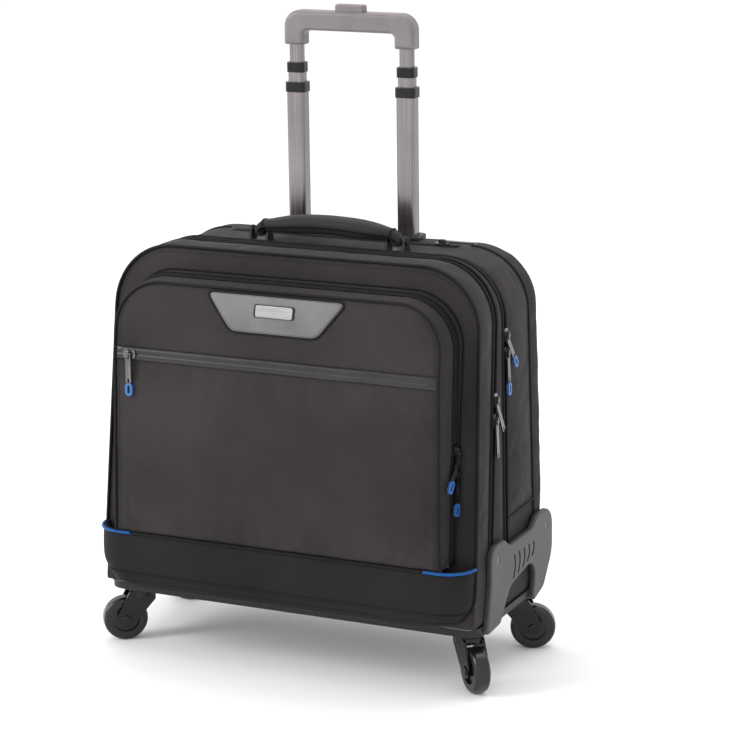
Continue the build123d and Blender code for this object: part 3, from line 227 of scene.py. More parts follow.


# %% [markdown]
# ### Cloth
# The outside is a twill polyester: yarns cross at right angles and step over by one each
# row, which leaves fine slanting ribs. A diagonal wave gives the ribs and two straight
# waves cut them into single yarns. A little sheen stands for the fuzz of the yarn. A slow
# mottling gives the cloth its own uneven tone, and a slower cloudiness carries most of the
# change in tone: it paints broad streaks of light and shade across the panels. The foot
# band is a coarser and blacker weave of the same kind, and the lining a thin grey one.

# %% Cloth finishes
RIB_WAVE = 628.0  # scale of the diagonal wave for a pitch of one millimetre
YARN_WAVE = 314.0  # and of the two straight ones
YARN_SHARE = 0.62  # width of a yarn in pitches of the ribs
SHEEN_TINT = (0.85, 0.82, 0.84, 1.0)


def cloth(name, dark, light, pitch, sheen, rough, relief):
    paint, tree, shader = new_finish(
        name, Sheen_Weight=sheen, Sheen_Roughness=0.4, Specular_IOR_Level=0.11
    )
    shader.inputs["Sheen Tint"].default_value = SHEEN_TINT
    place = place_of(tree)
    ribs = wave_of(tree, place, RIB_WAVE / pitch, "DIAGONAL", 0.4)
    warp, weft = (wave_of(tree, place, YARN_WAVE / (YARN_SHARE * pitch), way, 0.2) for way in "XZ")
    yarns = sum_of(tree, sum_of(tree, ribs, warp, 0.35), weft, 0.35)
    fuzz = noise_of(tree, place, 900.0, 3.0)
    mottle = noise_of(tree, place, 22.0, 4.0, 0.6)
    # Painted light: the slow cloudy blobs, weighted most in the tone below, paint broad lighter and darker
    # streaks that stand for soft light falling across the cloth; the mottle is the cloth's own uneven tone.
    cloudy = noise_of(tree, place, 7.0, 2.0)
    height = sum_of(tree, yarns, fuzz, 0.8)
    tone = sum_of(tree, sum_of(tree, spread_of(tree, height, 0.0, 2.4), mottle, 0.5), cloudy, 1.1)
    colour = blend_of(tree, spread_of(tree, tone, 0.85, 1.65), dark, light)
    paint_with(tree, shader, colour, spread_of(tree, mottle, 0.3, 0.7, rough))
    slow = sum_of(tree, height, noise_of(tree, place, 130.0, 3.0), 2.0)
    emboss(tree, shader, slow, relief * MM, 0.6)
    return paint


twill = cloth("charcoal_twill", "1f1c1e", "3b3739", 0.9, 0.03, (0.55, 0.7), 0.16)
band_cloth = cloth("black_ballistic", "131213", "242123", 1.5, 0.03, (0.55, 0.72), 0.2)
lining = cloth("grey_lining", "4b4a4e", "6c6a70", 0.5, 0.06, (0.5, 0.6), 0.06)
bead_cloth = cloth("piping_cord", "121112", "1e1c1d", 0.6, 0.02, (0.42, 0.55), 0.08)
tape_cloth = cloth("zip_tape_weave", "111011", "201e1f", 0.8, 0.02, (0.6, 0.75), 0.1)
handle_cloth = cloth("handle_weave", "232122", "3b3839", 0.8, 0.04, (0.5, 0.62), 0.14)
blue_cloth = cloth("blue_piping_cord", "0d3a70", "1d5c9f", 0.6, 0.04, (0.3, 0.42), 0.08)
print("cloth finishes from", twill.name, "to", blue_cloth.name)

# %% [markdown]
# ### Plastics, rubber and metal
# Moulded plastic shows a leathery grain that catches the light in specks, so it gets a
# fine cell bump and a roughness that wanders. The tubes are anodised aluminium drawn
# through a die: long faint lines run up them. The wheel parts are polished black. Small
# metal parts are plated zinc with faint brush lines.

# %% Hard finishes
def grained(name, dark, light, rough, grain_scale, relief, shine=0.5):
    """Moulded plastic, rubber or paint with a fine cell pattern."""
    paint, tree, shader = new_finish(name, Specular_IOR_Level=shine)
    place = place_of(tree)
    sockets = {"Vector": place, "Scale": grain_scale}
    cells = add_node(tree, "ShaderNodeTexVoronoi", sockets, feature="F1").outputs["Distance"]
    cloudy = noise_of(tree, place, 30.0, 4.0, 0.6)
    tone = spread_of(tree, sum_of(tree, cloudy, cells, 0.4), 0.3, 1.0)
    paint_with(tree, shader, blend_of(tree, tone, dark, light), spread_of(tree, cloudy, 0.3, 0.7, rough))
    emboss(tree, shader, sum_of(tree, cells, noise_of(tree, place, 1500.0), 0.5), relief * MM, 0.5)
    return paint


def brushed(name, dark, light, rough, stretch, metal=1.0):
    """Metal with fine lines along the axis whose stretch is small."""
    paint, tree, shader = new_finish(name, Metallic=metal)
    sockets = {"Vector": place_of(tree), "Scale": stretch}
    lines = add_node(tree, "ShaderNodeMapping", sockets).outputs["Vector"]
    streaks = noise_of(tree, lines, 1.0, 3.0, 0.6)
    tone = sum_of(tree, streaks, noise_of(tree, place_of(tree), 14.0, 3.0), 0.5)
    colour = blend_of(tree, spread_of(tree, tone, 0.4, 1.1), dark, light)
    paint_with(tree, shader, colour, spread_of(tree, tone, 0.4, 1.1, rough))
    emboss(tree, shader, streaks, 0.03 * MM, 0.4)
    return paint


bracket_grey = grained("bracket_grey", "2c292a", "3f3b3c", (0.4, 0.52), 1400.0, 0.05)
tray_black = grained("tray_black", "121112", "211f20", (0.36, 0.5), 1100.0, 0.06, 0.3)
panel_black = grained("back_panel_black", "201f20", "322f31", (0.5, 0.62), 700.0, 0.1)
polished_black = grained("polished_black", "080809", "121213", (0.1, 0.2), 2200.0, 0.008, 0.35)
tyre_rubber = grained("tyre_rubber", "0d0d0e", "181819", (0.18, 0.3), 900.0, 0.02, 0.45)
grip_plastic = grained("grip_plastic", "645e60", "7d7678", (0.3, 0.42), 1600.0, 0.03)
badge_face = grained("badge_face", "545254", "6b696b", (0.36, 0.5), 1200.0, 0.05)
tube_metal = brushed("tube_anodised", "6b6668", "9b9597", (0.2, 0.32), (900, 900, 6), 0.95)
pull_metal = brushed("pull_gunmetal", "545253", "858384", (0.2, 0.34), (300, 300, 60))
rivet_steel = brushed("rivet_steel", "807f80", "b5b4b5", (0.15, 0.3), (200, 200, 200))
plate_chrome = brushed("plate_chrome", "9d9c9d", "c6c6c6", (0.16, 0.28), (30, 800, 800))
blue_paint = grained("blue_ring", "244b80", "386aa6", (0.25, 0.35), 1500.0, 0.02)
coil_nylon = grained("zip_coil_nylon", "161516", "2b292a", (0.28, 0.4), 1500.0, 0.01, 0.35)
taped_zip = grained("coated_tape", "191819", "2b2829", (0.26, 0.36), 1300.0, 0.03, 0.35)
screw_grey = grained("screw_grey", "4a4748", "646061", (0.3, 0.4), 1400.0, 0.03)
thread = grained("black_thread", "181617", "2d2a2b", (0.5, 0.62), 2500.0, 0.02, 0.25)
print("materials, with those of the CAD model", len(bpy.data.materials))

# %% [markdown]
# ## Mesh helpers
# Every cloth piece starts as a grid of points worked out from the case's own sizes. A
# grid keeps the faces square, so it can be puffed, puckered and thickened. The helpers
# below make a mesh from a grid, find its outward side, sweep a round cord along a line,
# and drop small stitches on a seam.

# %% Grids to meshes
MIDDLE = np.array([0.0, 20.0, 240.0])  # inside the case, to tell outward from inward
AHEAD, BEHIND, ABOVE = (0, -1, 0), (0, 1, 0), (0, 0, 1)


def grid_quads(rows, columns, ring=False):
    last = columns if ring else columns - 1
    return [
        (r * columns + c, r * columns + (c + 1) % columns,
         (r + 1) * columns + (c + 1) % columns, (r + 1) * columns + c)
        for r in range(rows - 1)
        for c in range(last)
    ]


def mesh_piece(name, points, faces, body, paints):
    mesh = bpy.data.meshes.new(name)
    mesh.from_pydata((np.asarray(points, float).reshape(-1, 3) * MM).tolist(), [], faces)
    for paint in paints:
        mesh.materials.append(paint)
    mesh.polygons.foreach_set("use_smooth", [True] * len(mesh.polygons))
    mesh.update()
    piece = bpy.data.objects.new(name, mesh)
    bpy.context.scene.collection.objects.link(piece)
    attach(piece, body)
    return piece


def unit(vectors):
    return vectors / np.maximum(np.linalg.norm(vectors, axis=-1, keepdims=True), 1e-9)


def looks_out(normals, grid, outward):
    """True if the normals point to the given side, or away from the case's middle."""
    side = grid - MIDDLE if outward is None else np.broadcast_to(outward, grid.shape)
    return (normals * side).sum() > 0


def grid_normals(grid, outward=None):
    normals = unit(np.cross(np.gradient(grid, axis=0), np.gradient(grid, axis=1)))
    return normals if looks_out(normals, grid, outward) else -normals


def faces_of_grid(grid, outward=None):
    """Quads of a grid, wound so that they face outward."""
    quads = grid_quads(*grid.shape[:2])
    wound = unit(np.cross(np.gradient(grid, axis=1), np.gradient(grid, axis=0)))
    return quads if looks_out(wound, grid, outward) else [q[::-1] for q in quads]


def lumps(points, size, seed):
    """Soft random height for each point, from -1 to 1, in lumps about size across."""
    shift = np.array([13.7, 7.1, 3.3]) * seed
    flat = np.asarray(points).reshape(-1, 3) / size + shift
    return np.array([noise.noise(p) for p in flat.tolist()]).reshape(points.shape[:-1])


def step_between(low, high, value):
    t = np.clip((value - low) / (high - low), 0.0, 1.0)
    return t * t * (3 - 2 * t)


# %% [markdown]
# ### From a flat grid to padded cloth
# Padded cloth rises quickly from its seam and then runs nearly level. Along the seam the
# thread draws the cloth in, which leaves short puckers at right angles to it, and the
# open areas carry long soft waves. All of that depends on the distance to the nearest
# seam, so one function does every piece.

# %% Pad a grid
SEAM_REACH = 9.0  # from a seam, the way over which the padding rises
THREAD_DEPTH, THREAD_REACH = 0.7, 2.5  # how deep and how far the thread draws the cloth in


def padded_grid(grid, edge, rise, pucker, waves, seed, outward=None, calm=1.0):
    """Lift a grid off itself; calm scales the lift, point by point if need be."""
    height = rise * (1 - np.exp(-edge / SEAM_REACH)) - THREAD_DEPTH * np.exp(-edge / THREAD_REACH)
    height += pucker * lumps(grid, 8.0, seed) * np.exp(-edge / SEAM_REACH)
    height += waves * lumps(grid, 48.0, seed + 3) * (1 - np.exp(-edge / 16.0))
    height += 0.35 * waves * lumps(grid, 20.0, seed + 5) * (1 - np.exp(-edge / 10.0))
    return grid + grid_normals(grid, outward) * (height * calm)[..., None]


# %% [markdown]
# ### Cloth simulation
# Real padding pushes the cloth out between its seams, and the spare cloth falls in soft
# waves. So the large outer panels are run as cloth with air behind them: the points near a
# seam are pinned, gravity is off, the cloth is let out a little so that it can fold, and
# the pressure acts for a few frames. How far a point may move is capped, so that the panel
# keeps its size and clears its neighbours. The walls are thickened only afterwards.

# %% Swell cloth with air
SWELL_FRAMES = 18
STIFFNESS = 12.0


def points_of(mesh):
    """Places of a mesh's vertices in metres, one row each."""
    flat = np.empty(len(mesh.vertices) * 3)
    mesh.vertices.foreach_get("co", flat)
    return flat.reshape(-1, 3)


def swell(piece, held, pressure, cap, slack=0.0):
    """Blow up a mesh whose held points are pinned; returns the largest move in mm."""
    mesh, scene = piece.data, bpy.context.scene
    rest = points_of(mesh)
    group = piece.vertex_groups.new(name="held")
    for index, weight in enumerate(np.ravel(held)):
        group.add([index], float(weight), "REPLACE")
    air = piece.modifiers.new("air", "CLOTH")
    settings = air.settings
    settings.quality, settings.mass = 6, 0.25
    settings.tension_stiffness = settings.compression_stiffness = STIFFNESS
    settings.shear_stiffness, settings.bending_stiffness = STIFFNESS / 2, 1.5
    settings.vertex_group_mass, settings.pin_stiffness = "held", 1.0
    settings.use_pressure, settings.uniform_pressure_force = True, pressure
    settings.shrink_min = -slack
    settings.effector_weights.gravity = 0.0
    air.collision_settings.use_collision = air.collision_settings.use_self_collision = False
    air.point_cache.frame_start, air.point_cache.frame_end = 1, SWELL_FRAMES
    for step in range(1, SWELL_FRAMES + 1):
        scene.frame_set(step)
    shift = points_of(piece.evaluated_get(bpy.context.evaluated_depsgraph_get()).data) - rest
    piece.modifiers.remove(air)
    piece.vertex_groups.remove(group)
    scene.frame_set(1)
    if not np.isfinite(shift).all():
        shift = np.zeros_like(shift)
    length = np.linalg.norm(shift, axis=1, keepdims=True)
    limit = cap * MM
    shift *= limit * np.tanh(length / limit) / np.maximum(length, 1e-9)
    mesh.vertices.foreach_set("co", (rest + shift).ravel())
    mesh.update()
    return float(np.linalg.norm(shift, axis=1).max() / MM)


def seam_hold(edge, calm=1.0):
    """Pin weight of each point: held at the seams, free in the open cloth."""
    return np.clip(1 - step_between(4.0, 12.0, edge) * calm, 0.0, 1.0)


def soften(piece):
    soft = piece.modifiers.new("soft", "SUBSURF")
    soft.levels = soft.render_levels = 1


def skin(name, grid, body, node=None, thick=2.2, outward=None, paints=(twill, lining),
         smooth=True, air=None):
    """Padded skin from a grid: swelled if air is given, thickened inwards and lined."""
    piece = mesh_piece(name, grid, faces_of_grid(grid, outward), body, paints)
    if air:
        print(name, "swelled by", round(swell(piece, *air), 2), "mm")
    wall = piece.modifiers.new("wall", "SOLIDIFY")
    wall.thickness, wall.offset = thick * MM, -1.0
    wall.material_offset, wall.material_offset_rim = 1, 0
    wall.use_quality_normals = True
    wall.edge_crease_outer = wall.edge_crease_inner = 0.75
    if smooth:
        soften(piece)
    if node:
        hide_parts(node)


# %% [markdown]
# ### Cords, coils and stitches
# Piping is a cord wrapped in a strip of cloth and caught in the seam. It is swept as a
# round tube along the seam line. A zip's coil is two rows of small nylon loops that lock
# into each other, and each row is sewn to its own side, so each row is a piece of its
# own. Stitches are tapered lozenges a few millimetres apart.

# %% Sweep and repeat
def tangents_of(path):
    return unit(np.gradient(path, axis=0))


def resample(path, spacing):
    path = np.asarray(path, float)
    run = np.concatenate([[0], np.cumsum(np.linalg.norm(np.diff(path, axis=0), axis=1))])
    count = max(2, int(round(run[-1] / spacing)) + 1)
    at = np.linspace(0, run[-1], count)
    return np.stack([np.interp(at, run, path[:, k]) for k in range(path.shape[1])], axis=1)


CORD_SIDES, CORD_WOBBLE = 8, 0.04


def cord(name, path, radius, up, body, paint=bead_cloth, spacing=3.0):
    """A round cord of slightly uneven thickness along a path, with closed ends."""
    path = resample(path, spacing)
    along = tangents_of(path)
    across = unit(np.cross(along, np.asarray(up, float)))
    lift = np.cross(across, along)
    turn = np.linspace(0, 2 * math.pi, CORD_SIDES, endpoint=False)[None, :, None]
    size = radius * (1 + CORD_WOBBLE * lumps(path, 5.0, 0))[:, None, None]
    rings = path[:, None] + size * (across[:, None] * np.cos(turn) + lift[:, None] * np.sin(turn))
    faces = grid_quads(len(path), CORD_SIDES, ring=True)
    ends = [path[0] - along[0] * radius * 0.6, path[-1] + along[-1] * radius * 0.6]
    base = len(path) * CORD_SIDES
    for c in range(CORD_SIDES):
        after = (c + 1) % CORD_SIDES
        faces += [(c, base, after), (base - CORD_SIDES + c, base - CORD_SIDES + after, base + 1)]
    piece = mesh_piece(name, np.vstack([rings.reshape(-1, 3), ends]), faces, body, (paint,))


LOZENGE_FACES = [
    (0, 2, 1), (0, 3, 2), (0, 4, 3), (0, 1, 4),
    (1, 2, 6, 5), (2, 3, 7, 6), (3, 4, 8, 7), (4, 1, 5, 8),
    (9, 5, 6), (9, 6, 7), (9, 7, 8), (9, 8, 5),
]


def lozenges(centres, along, up, length, width, height):
    """Many tapered lozenges at once: points and faces."""
    across = unit(np.cross(along, up))
    lift = np.cross(across, along)
    points, faces = [], []
    for row, (c, a, s, u) in enumerate(zip(centres, along, across, lift)):
        ring = [s * width / 2, u * height / 2, -s * width / 2, -u * height / 2]
        near = [c - a * length * 0.3 + r for r in ring]
        far = [c + a * length * 0.3 + r for r in ring]
        points += [c - a * length / 2, *near, *far, c + a * length / 2]
        faces += [tuple(i + 10 * row for i in f) for f in LOZENGE_FACES]
    return np.array(points), faces


def along_seam(path, up, pitch):
    """Places, outward directions and tangents at even steps along a seam."""
    path = np.asarray(path, float)
    both = resample(np.hstack([path, np.broadcast_to(np.asarray(up, float), path.shape)]), pitch)
    return both[:, :3], unit(both[:, 3:]), tangents_of(both[:, :3])


def stitch_row(name, path, up, body, pitch=3.6, width=0.55, lift=0.15):
    """A row of lock stitches that lie on the cloth along a seam."""
    spots, ups, along = along_seam(path, up, pitch)
    points, faces = lozenges(spots + ups * lift, along, ups, pitch * 0.72, width, width * 0.7)
    mesh_piece(name, points, faces, body, (thread,))


def coil_row(name, path, up, side, body, pitch=1.5, reach=2.1, size=0.85):
    """One half of a zip's coil: loops that reach a little over the middle line."""
    spots, ups, along = along_seam(path, up, pitch)
    across = unit(np.cross(along, ups)) * side
    spots = spots + across * (reach / 2 - 0.35) + along * pitch * 0.25 * side + ups * 0.3
    points, faces = lozenges(spots, across, ups, reach, size, size)
    mesh_piece(name, points, faces, body, (coil_nylon,))


# %% [markdown]
# ## The case's outline and its leaning seams
# Seen from the front the body is an arch: upright at the foot, then tapering, with large
# round corners and a level top. Leaning planes cut it from front to back into the front
# lid, the laptop section and the rear shell. The outline is kept as points with their
# outward directions, so that it can be moved in or out like an offset curve.

# %% Outline
BODY_LOW, BODY_TOP, TAPER_Z = 72.0, 418.0, 120.0
# each leaning plane by its depth at BODY_LOW and at BODY_TOP
FRONT_PLANE, FRONT_ZIP = (-86.0, -49.0), (-49.0, -6.0)
REAR_ZIP, POCKET_ZIP = (-1.5, 15.0), (-88.0, -61.0)
TAPE = 5.0  # width of cloth that a zip takes on each side of its plane
ARCH_COUNTS = (9, 44, 14, 25)  # points up the foot, the taper, the corner and half the top


def lean(ends, z):
    return ends[0] + (ends[1] - ends[0]) * (z - BODY_LOW) / (BODY_TOP - BODY_LOW)


def arch(half, head, low, top, radius, bend=TAPER_Z, counts=ARCH_COUNTS):
    """Rows of x, z and outward x, z, from the left foot over the top to the right foot."""
    slope = unit(np.array([half - head, top - bend]))
    out = np.array([-slope[1], slope[0]])
    turn = math.atan2(slope[1], slope[0])
    corner = np.array([-head, top])
    start = corner - slope * radius * math.tan(turn / 2)
    centre = start - out * radius
    rows = [(-half, z, -1.0, 0.0) for z in np.linspace(low, bend, counts[0], endpoint=False)]
    for t in np.linspace(0, 1, counts[1], endpoint=False):
        x, z = np.array([-half, bend]) * (1 - t) + start * t
        rows.append((x, z, *out))
    first = math.atan2(out[1], out[0])
    for angle in np.linspace(first, math.pi / 2, counts[2]):
        way = np.array([math.cos(angle), math.sin(angle)])
        rows.append((*(centre + way * radius), *way))
    rows += [(x, top, 0.0, 1.0) for x in np.linspace(centre[0], 0, counts[3])[1:]]
    left = np.array(rows)
    right = left[-2::-1] * np.array([-1, 1, -1, 1])
    return np.vstack([left, right])


def moved(outline, distance):
    """The outline moved outwards by a distance."""
    shifted = outline.copy()
    shifted[:, :2] += shifted[:, 2:] * distance
    return shifted


# half width at the foot and at the top, lowest and highest point, corner radius
LID = arch(204.0, 195.5, 71.6, BODY_TOP, 62.0)
RING = arch(203.0, 194.5, 69.3, 417.0, 61.0)
REAR = arch(202.0, 193.5, 69.0, 414.0, 60.0)
CORNER_END = sum(ARCH_COUNTS[:3])  # index of the first point on the level top


def in_space(outline, y):
    """The outline as points in space at a depth, and its outward directions."""
    spots = np.stack([outline[:, 0], np.broadcast_to(y, len(outline)), outline[:, 1]], axis=1)
    ups = np.stack([outline[:, 2], np.zeros(len(outline)), outline[:, 3]], axis=1)
    return spots, ups


def on_plane(outline, plane, shift=0.0):
    return in_space(outline, lean(plane, outline[:, 1]) + shift)


def between_lines(first, last, rows):
    """Grid between two lines of as many points, with distances to the nearer line."""
    share = np.linspace(0, 1, rows + 1)[:, None, None]
    grid = first[None] * (1 - share) + last[None] * share
    width = np.linalg.norm(last - first, axis=1)[None]
    return grid, np.minimum(share[..., 0], 1 - share[..., 0]) * width


def strip(outline, front, back, shifts, rows):
    """Grid between two leaning planes along an outline, with distances to its seams."""
    return between_lines(on_plane(outline, front, shifts[0])[0], on_plane(outline, back, shifts[1])[0], rows)


def bracket_calm(grid):
    """Below the tops of the side brackets the cloth is held flat against the tray."""
    return 0.12 + 0.88 * step_between(138.0, 168.0, grid[..., 2])


print("outline points", len(LID), "from", LID[0, :2], "to", LID[-1, :2])

# %% [markdown]
# ## The front lid
# The lid is a shallow tray of cloth: a side wall that follows the arch and a front wall
# on which the pocket is sewn. Both walls meet in a piped seam. The front wall is built
# row by row, each row as wide as the arch at that height, so that its edge falls exactly
# on the seam.

# %% Walls of the front lid
def columns_across(columns):
    """Shares of the half width, closer together towards both sides."""
    u = np.linspace(-1, 1, columns + 1)
    return 0.55 * u + 0.45 * np.sin(u * math.pi / 2)


def near_seam(side, above):
    """Distance to the nearer of two seams, rounded off where they meet."""
    return 1 / np.sqrt(1 / np.maximum(side, 0.01) ** 2 + 1 / np.maximum(above, 0.01) ** 2)


def wall_between(outline, columns=64):
    """Rows of a wall inside an outline: x, z and distance to the seam."""
    left, shoulder = outline[:CORNER_END], outline[CORNER_END - 1 : 8 : -1]
    x = (0.7 - left[:, :1]) * columns_across(columns)[None]
    z = np.repeat(left[:, 1:2], columns + 1, axis=1)
    side = np.abs(left[:, :1]) - np.abs(x)
    above = np.interp(np.abs(x), -shoulder[:, 0], shoulder[:, 1]) - z
    return x, z, np.minimum(near_seam(side, above), z - left[0, 1])


def lid_side():
    grid, edge = strip(LID, FRONT_PLANE, FRONT_ZIP, (0.2, -TAPE), 8)
    grid = padded_grid(grid, edge, 1.6, 0.45, 0.5, 2, calm=bracket_calm(grid))
    held = seam_hold(edge, bracket_calm(grid))
    skin("lid_side_wall", grid, "front_section", "front_shell", air=(held, 3.0, 1.4, 0.01))


def lid_front():
    x, z, edge = wall_between(LID)
    grid = np.stack([x, lean(FRONT_PLANE, z) + 0.4, z], axis=2)
    grid = padded_grid(grid, edge, 0.9, 0.3, 0.25, 4, AHEAD)
    skin("lid_front_wall", grid, "front_section", "front_shell", outward=AHEAD)


lid_side()
lid_front()

# %% [markdown]
# ## The laptop section
# Behind the front zip comes a ring of cloth one zip wide on each side. It holds the
# divider that the laptop sleeve stands against. It is a narrow strip, so it puffs less.

# %% Ring of the laptop section
def laptop_ring():
    grid, edge = strip(RING, FRONT_ZIP, REAR_ZIP, (TAPE, -TAPE), 6)
    grid = padded_grid(grid, edge, 1.7, 0.4, 0.4, 6, calm=bracket_calm(grid))
    held = seam_hold(edge, bracket_calm(grid))
    skin("laptop_ring", grid, "laptop_section", "laptop_gusset", air=(held, 3.0, 1.0, 0.01))


laptop_ring()

# %% [markdown]
# ## The rear shell
# The rear shell is the deepest part. Its wall turns round a soft edge onto the back,
# where a stiff panel is screwed on. A piped seam runs up its sides, and a separate foot
# piece is sewn across them low down. Two holes let the trolley's tubes out at the top.

# %% Rear shell
REAR_WALL, REAR_EDGE, TUBE_X, TUBE_Y = 107.0, 14.0, 60.9, 89.0
REAR_SEAM_Y, REAR_CROSS_Z = 77.0, 157.0
TOP_Z = 405.0  # everything on the level top is above this
BACK_EDGE = 14.0  # distance to a seam that stands for the open cloth round the back edge
TUBE_HOLE_X, TUBE_HOLE_Y = 12.5, 11.5  # half sizes of the hole for each tube
FOOT_LOW, FOOT_HIGH = 69.5, 112.0


def rear_grid():
    front, ups = on_plane(REAR, REAR_ZIP, TAPE)
    flat_end = REAR_WALL - REAR_EDGE
    rows, edges = [], []
    for share in np.linspace(0, 1, 17):
        row = front.copy()
        row[:, 1] = front[:, 1] * (1 - share) + flat_end * share
        rows.append(row)
        edges.append(np.minimum(row[:, 1] - front[:, 1], np.abs(row[:, 1] - REAR_SEAM_Y)))
    for angle in np.linspace(0, math.pi / 2, 7)[1:]:
        row = front - ups * REAR_EDGE * (1 - math.cos(angle))
        row[:, 1] = flat_end + REAR_EDGE * math.sin(angle)
        rows.append(row)
    rows.append(rows[-1] - ups * 6.0)
    edges += [np.full(len(front), BACK_EDGE)] * 7
    return np.array(rows), np.array(edges)


def rear_hold(grid, edge):
    """Held at the seams, under the brackets, round the tubes, on the back and by the zip."""
    tubes = np.abs(np.abs(grid[..., 0]) - TUBE_X) + np.abs(grid[..., 1] - TUBE_Y)
    on_top = grid[..., 2] > TOP_Z
    free = step_between(26.0, 40.0, np.where(on_top, tubes, 99.0)) * bracket_calm(grid)
    free *= np.where(on_top, 0.15, 1.0) * (1 - step_between(95.0, 104.0, grid[..., 1]))
    return seam_hold(edge, free)


def rear_shell():
    """The wall with its two holes; returns the number of faces cut out."""
    grid, edge = rear_grid()
    on_side = (np.abs(grid[..., 0]) > 120) & (grid[..., 1] < REAR_SEAM_Y)  # not the top
    edge = np.minimum(edge, np.where(on_side, np.abs(grid[..., 2] - REAR_CROSS_Z), 99))
    calm = bracket_calm(grid) * np.where(grid[..., 2] > TOP_Z, 0.35, 1.0)
    grid = padded_grid(grid, edge, 2.0, 0.5, 0.9, 9, calm=calm)
    skin("rear_wall", grid, "case", "rear_shell", air=(rear_hold(grid, edge), 3.0, 2.2, 0.012))
    wall = bpy.data.objects["rear_wall"].data
    mesh = bmesh.new()
    mesh.from_mesh(wall)
    holes = []
    for face in mesh.faces:
        x, y, z = face.calc_center_median() / MM
        if z > TOP_Z and abs(abs(x) - TUBE_X) < TUBE_HOLE_X and abs(y - TUBE_Y) < TUBE_HOLE_Y:
            holes.append(face)
    bmesh.ops.delete(mesh, geom=holes, context="FACES")
    mesh.to_mesh(wall)
    mesh.free()
    return len(holes)


def rear_foot():
    """Cloth across the back below and behind the stiff panel."""
    x, z = np.meshgrid(np.linspace(-192, 192, 60), np.linspace(FOOT_LOW, FOOT_HIGH, 9))
    grid = np.stack([x, np.full_like(x, REAR_WALL - 0.9), z], axis=2)
    grid = padded_grid(grid, np.minimum(z - FOOT_LOW, FOOT_HIGH - z), 0.5, 0.3, 0.3, 24, BEHIND)
    skin("rear_foot_wall", grid, "case", "rear_shell", outward=BEHIND)


print("rear wall, faces cut for the tubes", rear_shell())
rear_foot()

# %% [markdown]
# ## The front pocket
# The pocket stands out from the lid on a side wall that splays towards the back, and its
# own zip runs round that wall. In front is the panel: flat at the foot, curving back at
# the top. The panel and the front half of the side wall swing down together as a flap.
# The pocket's outline shrinks by the splay as it comes forward, so a point on the
# panel's edge is found by stepping between the panel's profile and the outline.

# %% Pocket outline and panel profile
POCKET_BASE_Y, POCKET_LOW = -50.0, 134.3
SPLAY = math.tan(math.radians(10.0))
POCKET_COUNTS = (1, 46, 16, 25)
POCKET = arch(187.5, 182.5, POCKET_LOW, 396.0, 54.0, bend=134.4, counts=POCKET_COUNTS)
POCKET_CORNER_END = sum(POCKET_COUNTS[:3])
PANEL_FOOT, PANEL_BEND = (-108.2, 134.0), (-101.7, 310.0)
PANEL_MID, PANEL_HEAD = (-96.7, 352.0), (-86.0, 396.0)


def circle_through(a, b, c):
    (ax, ay), (bx, by), (cx, cy) = a, b, c
    d = 2 * (ax * (by - cy) + bx * (cy - ay) + cx * (ay - by))
    sa, sb, sc = ax * ax + ay * ay, bx * bx + by * by, cx * cx + cy * cy
    x = (sa * (by - cy) + sb * (cy - ay) + sc * (ay - by)) / d
    y = (sa * (cx - bx) + sb * (ax - cx) + sc * (bx - ax)) / d
    return x, y, math.hypot(ax - x, ay - y)


BEND_Y, BEND_Z, BEND_RADIUS = circle_through(PANEL_BEND, PANEL_MID, PANEL_HEAD)


def panel_y(z):
    """Depth of the panel's face at a height: a line, then an arc."""
    z = np.asarray(z, float)
    slope = (PANEL_BEND[0] - PANEL_FOOT[0]) / (PANEL_BEND[1] - PANEL_FOOT[1])
    flat = PANEL_FOOT[0] + slope * (z - PANEL_FOOT[1])
    drop = np.sqrt(np.maximum(BEND_RADIUS**2 - (z - BEND_Z) ** 2, 0))
    return np.where(z <= PANEL_BEND[1], flat, BEND_Y - drop)


def splayed(y):
    """Pocket outline with each point moved in for its own depth."""
    return moved(POCKET, -(SPLAY * (POCKET_BASE_Y - y))[:, None])


def side_meets(depth_at, guess):
    """Where the side wall meets a surface whose depth depends on the height."""
    y = np.full(len(POCKET), guess)
    for _ in range(12):
        y = depth_at(splayed(y)[:, 1])
    return splayed(y), y


def pocket_line(plane, shift):
    """Outline of the pocket's side wall on a leaning plane."""
    return in_space(*side_meets(lambda z: lean(plane, z) + shift, -80.0))


EDGE, EDGE_Y = side_meets(panel_y, -100.0)
print("panel edge half width", round(-EDGE[3, 0], 1), "top", round(EDGE[:, 1].max(), 1))

# %% [markdown]
# The panel is drawn as two pads: a tall one below the slip pocket's zip and a low one
# above it that carries the badge. Cloth stretched over foam crowns a little, most in the
# middle of each pad, so the depth of the crown is worked out as a smooth bump, and the
# badge and its stitches can ask for it.

# %% Panel
SLIP_Z, SLIP_HALF = 318.0, 174.6
LOWER_TOP, UPPER_LOW = SLIP_Z - 5.2, SLIP_Z + 5.4
PANEL_TOP = float(EDGE[:, 1].max())


def half_width(z):
    """Half width of the panel at a height."""
    left = EDGE[:POCKET_CORNER_END]
    return np.interp(z, left[:, 1], -left[:, 0])


def crown(x, z):
    """How far the padded panel stands out in front of its profile."""
    across = np.clip(1 - (np.abs(x) / half_width(z)) ** 4, 0, 1)
    low = np.clip((z - PANEL_FOOT[1]) / (LOWER_TOP - PANEL_FOOT[1]), 0, 1)
    high = np.clip((z - UPPER_LOW) / (PANEL_TOP - UPPER_LOW), 0, 1)
    lower = 3.4 * np.sin(math.pi * low) ** 0.7
    upper = 0.9 * np.sin(math.pi * high) ** 0.6
    return across * np.where(z < SLIP_Z, lower, upper)


def panel_grid(z, columns=66):
    """The panel's face at the given heights, with distances to its curved edge."""
    left = EDGE[:POCKET_CORNER_END]
    z = np.repeat(z[:, None], columns + 1, axis=1)
    x = (half_width(z) + 0.6) * columns_across(columns)[None]
    above = np.interp(np.abs(x), -left[::-1, 0], left[::-1, 1]) - z
    edge = near_seam(half_width(z) - np.abs(x), above)
    return np.stack([x, panel_y(z) - crown(x, z), z], axis=2), edge


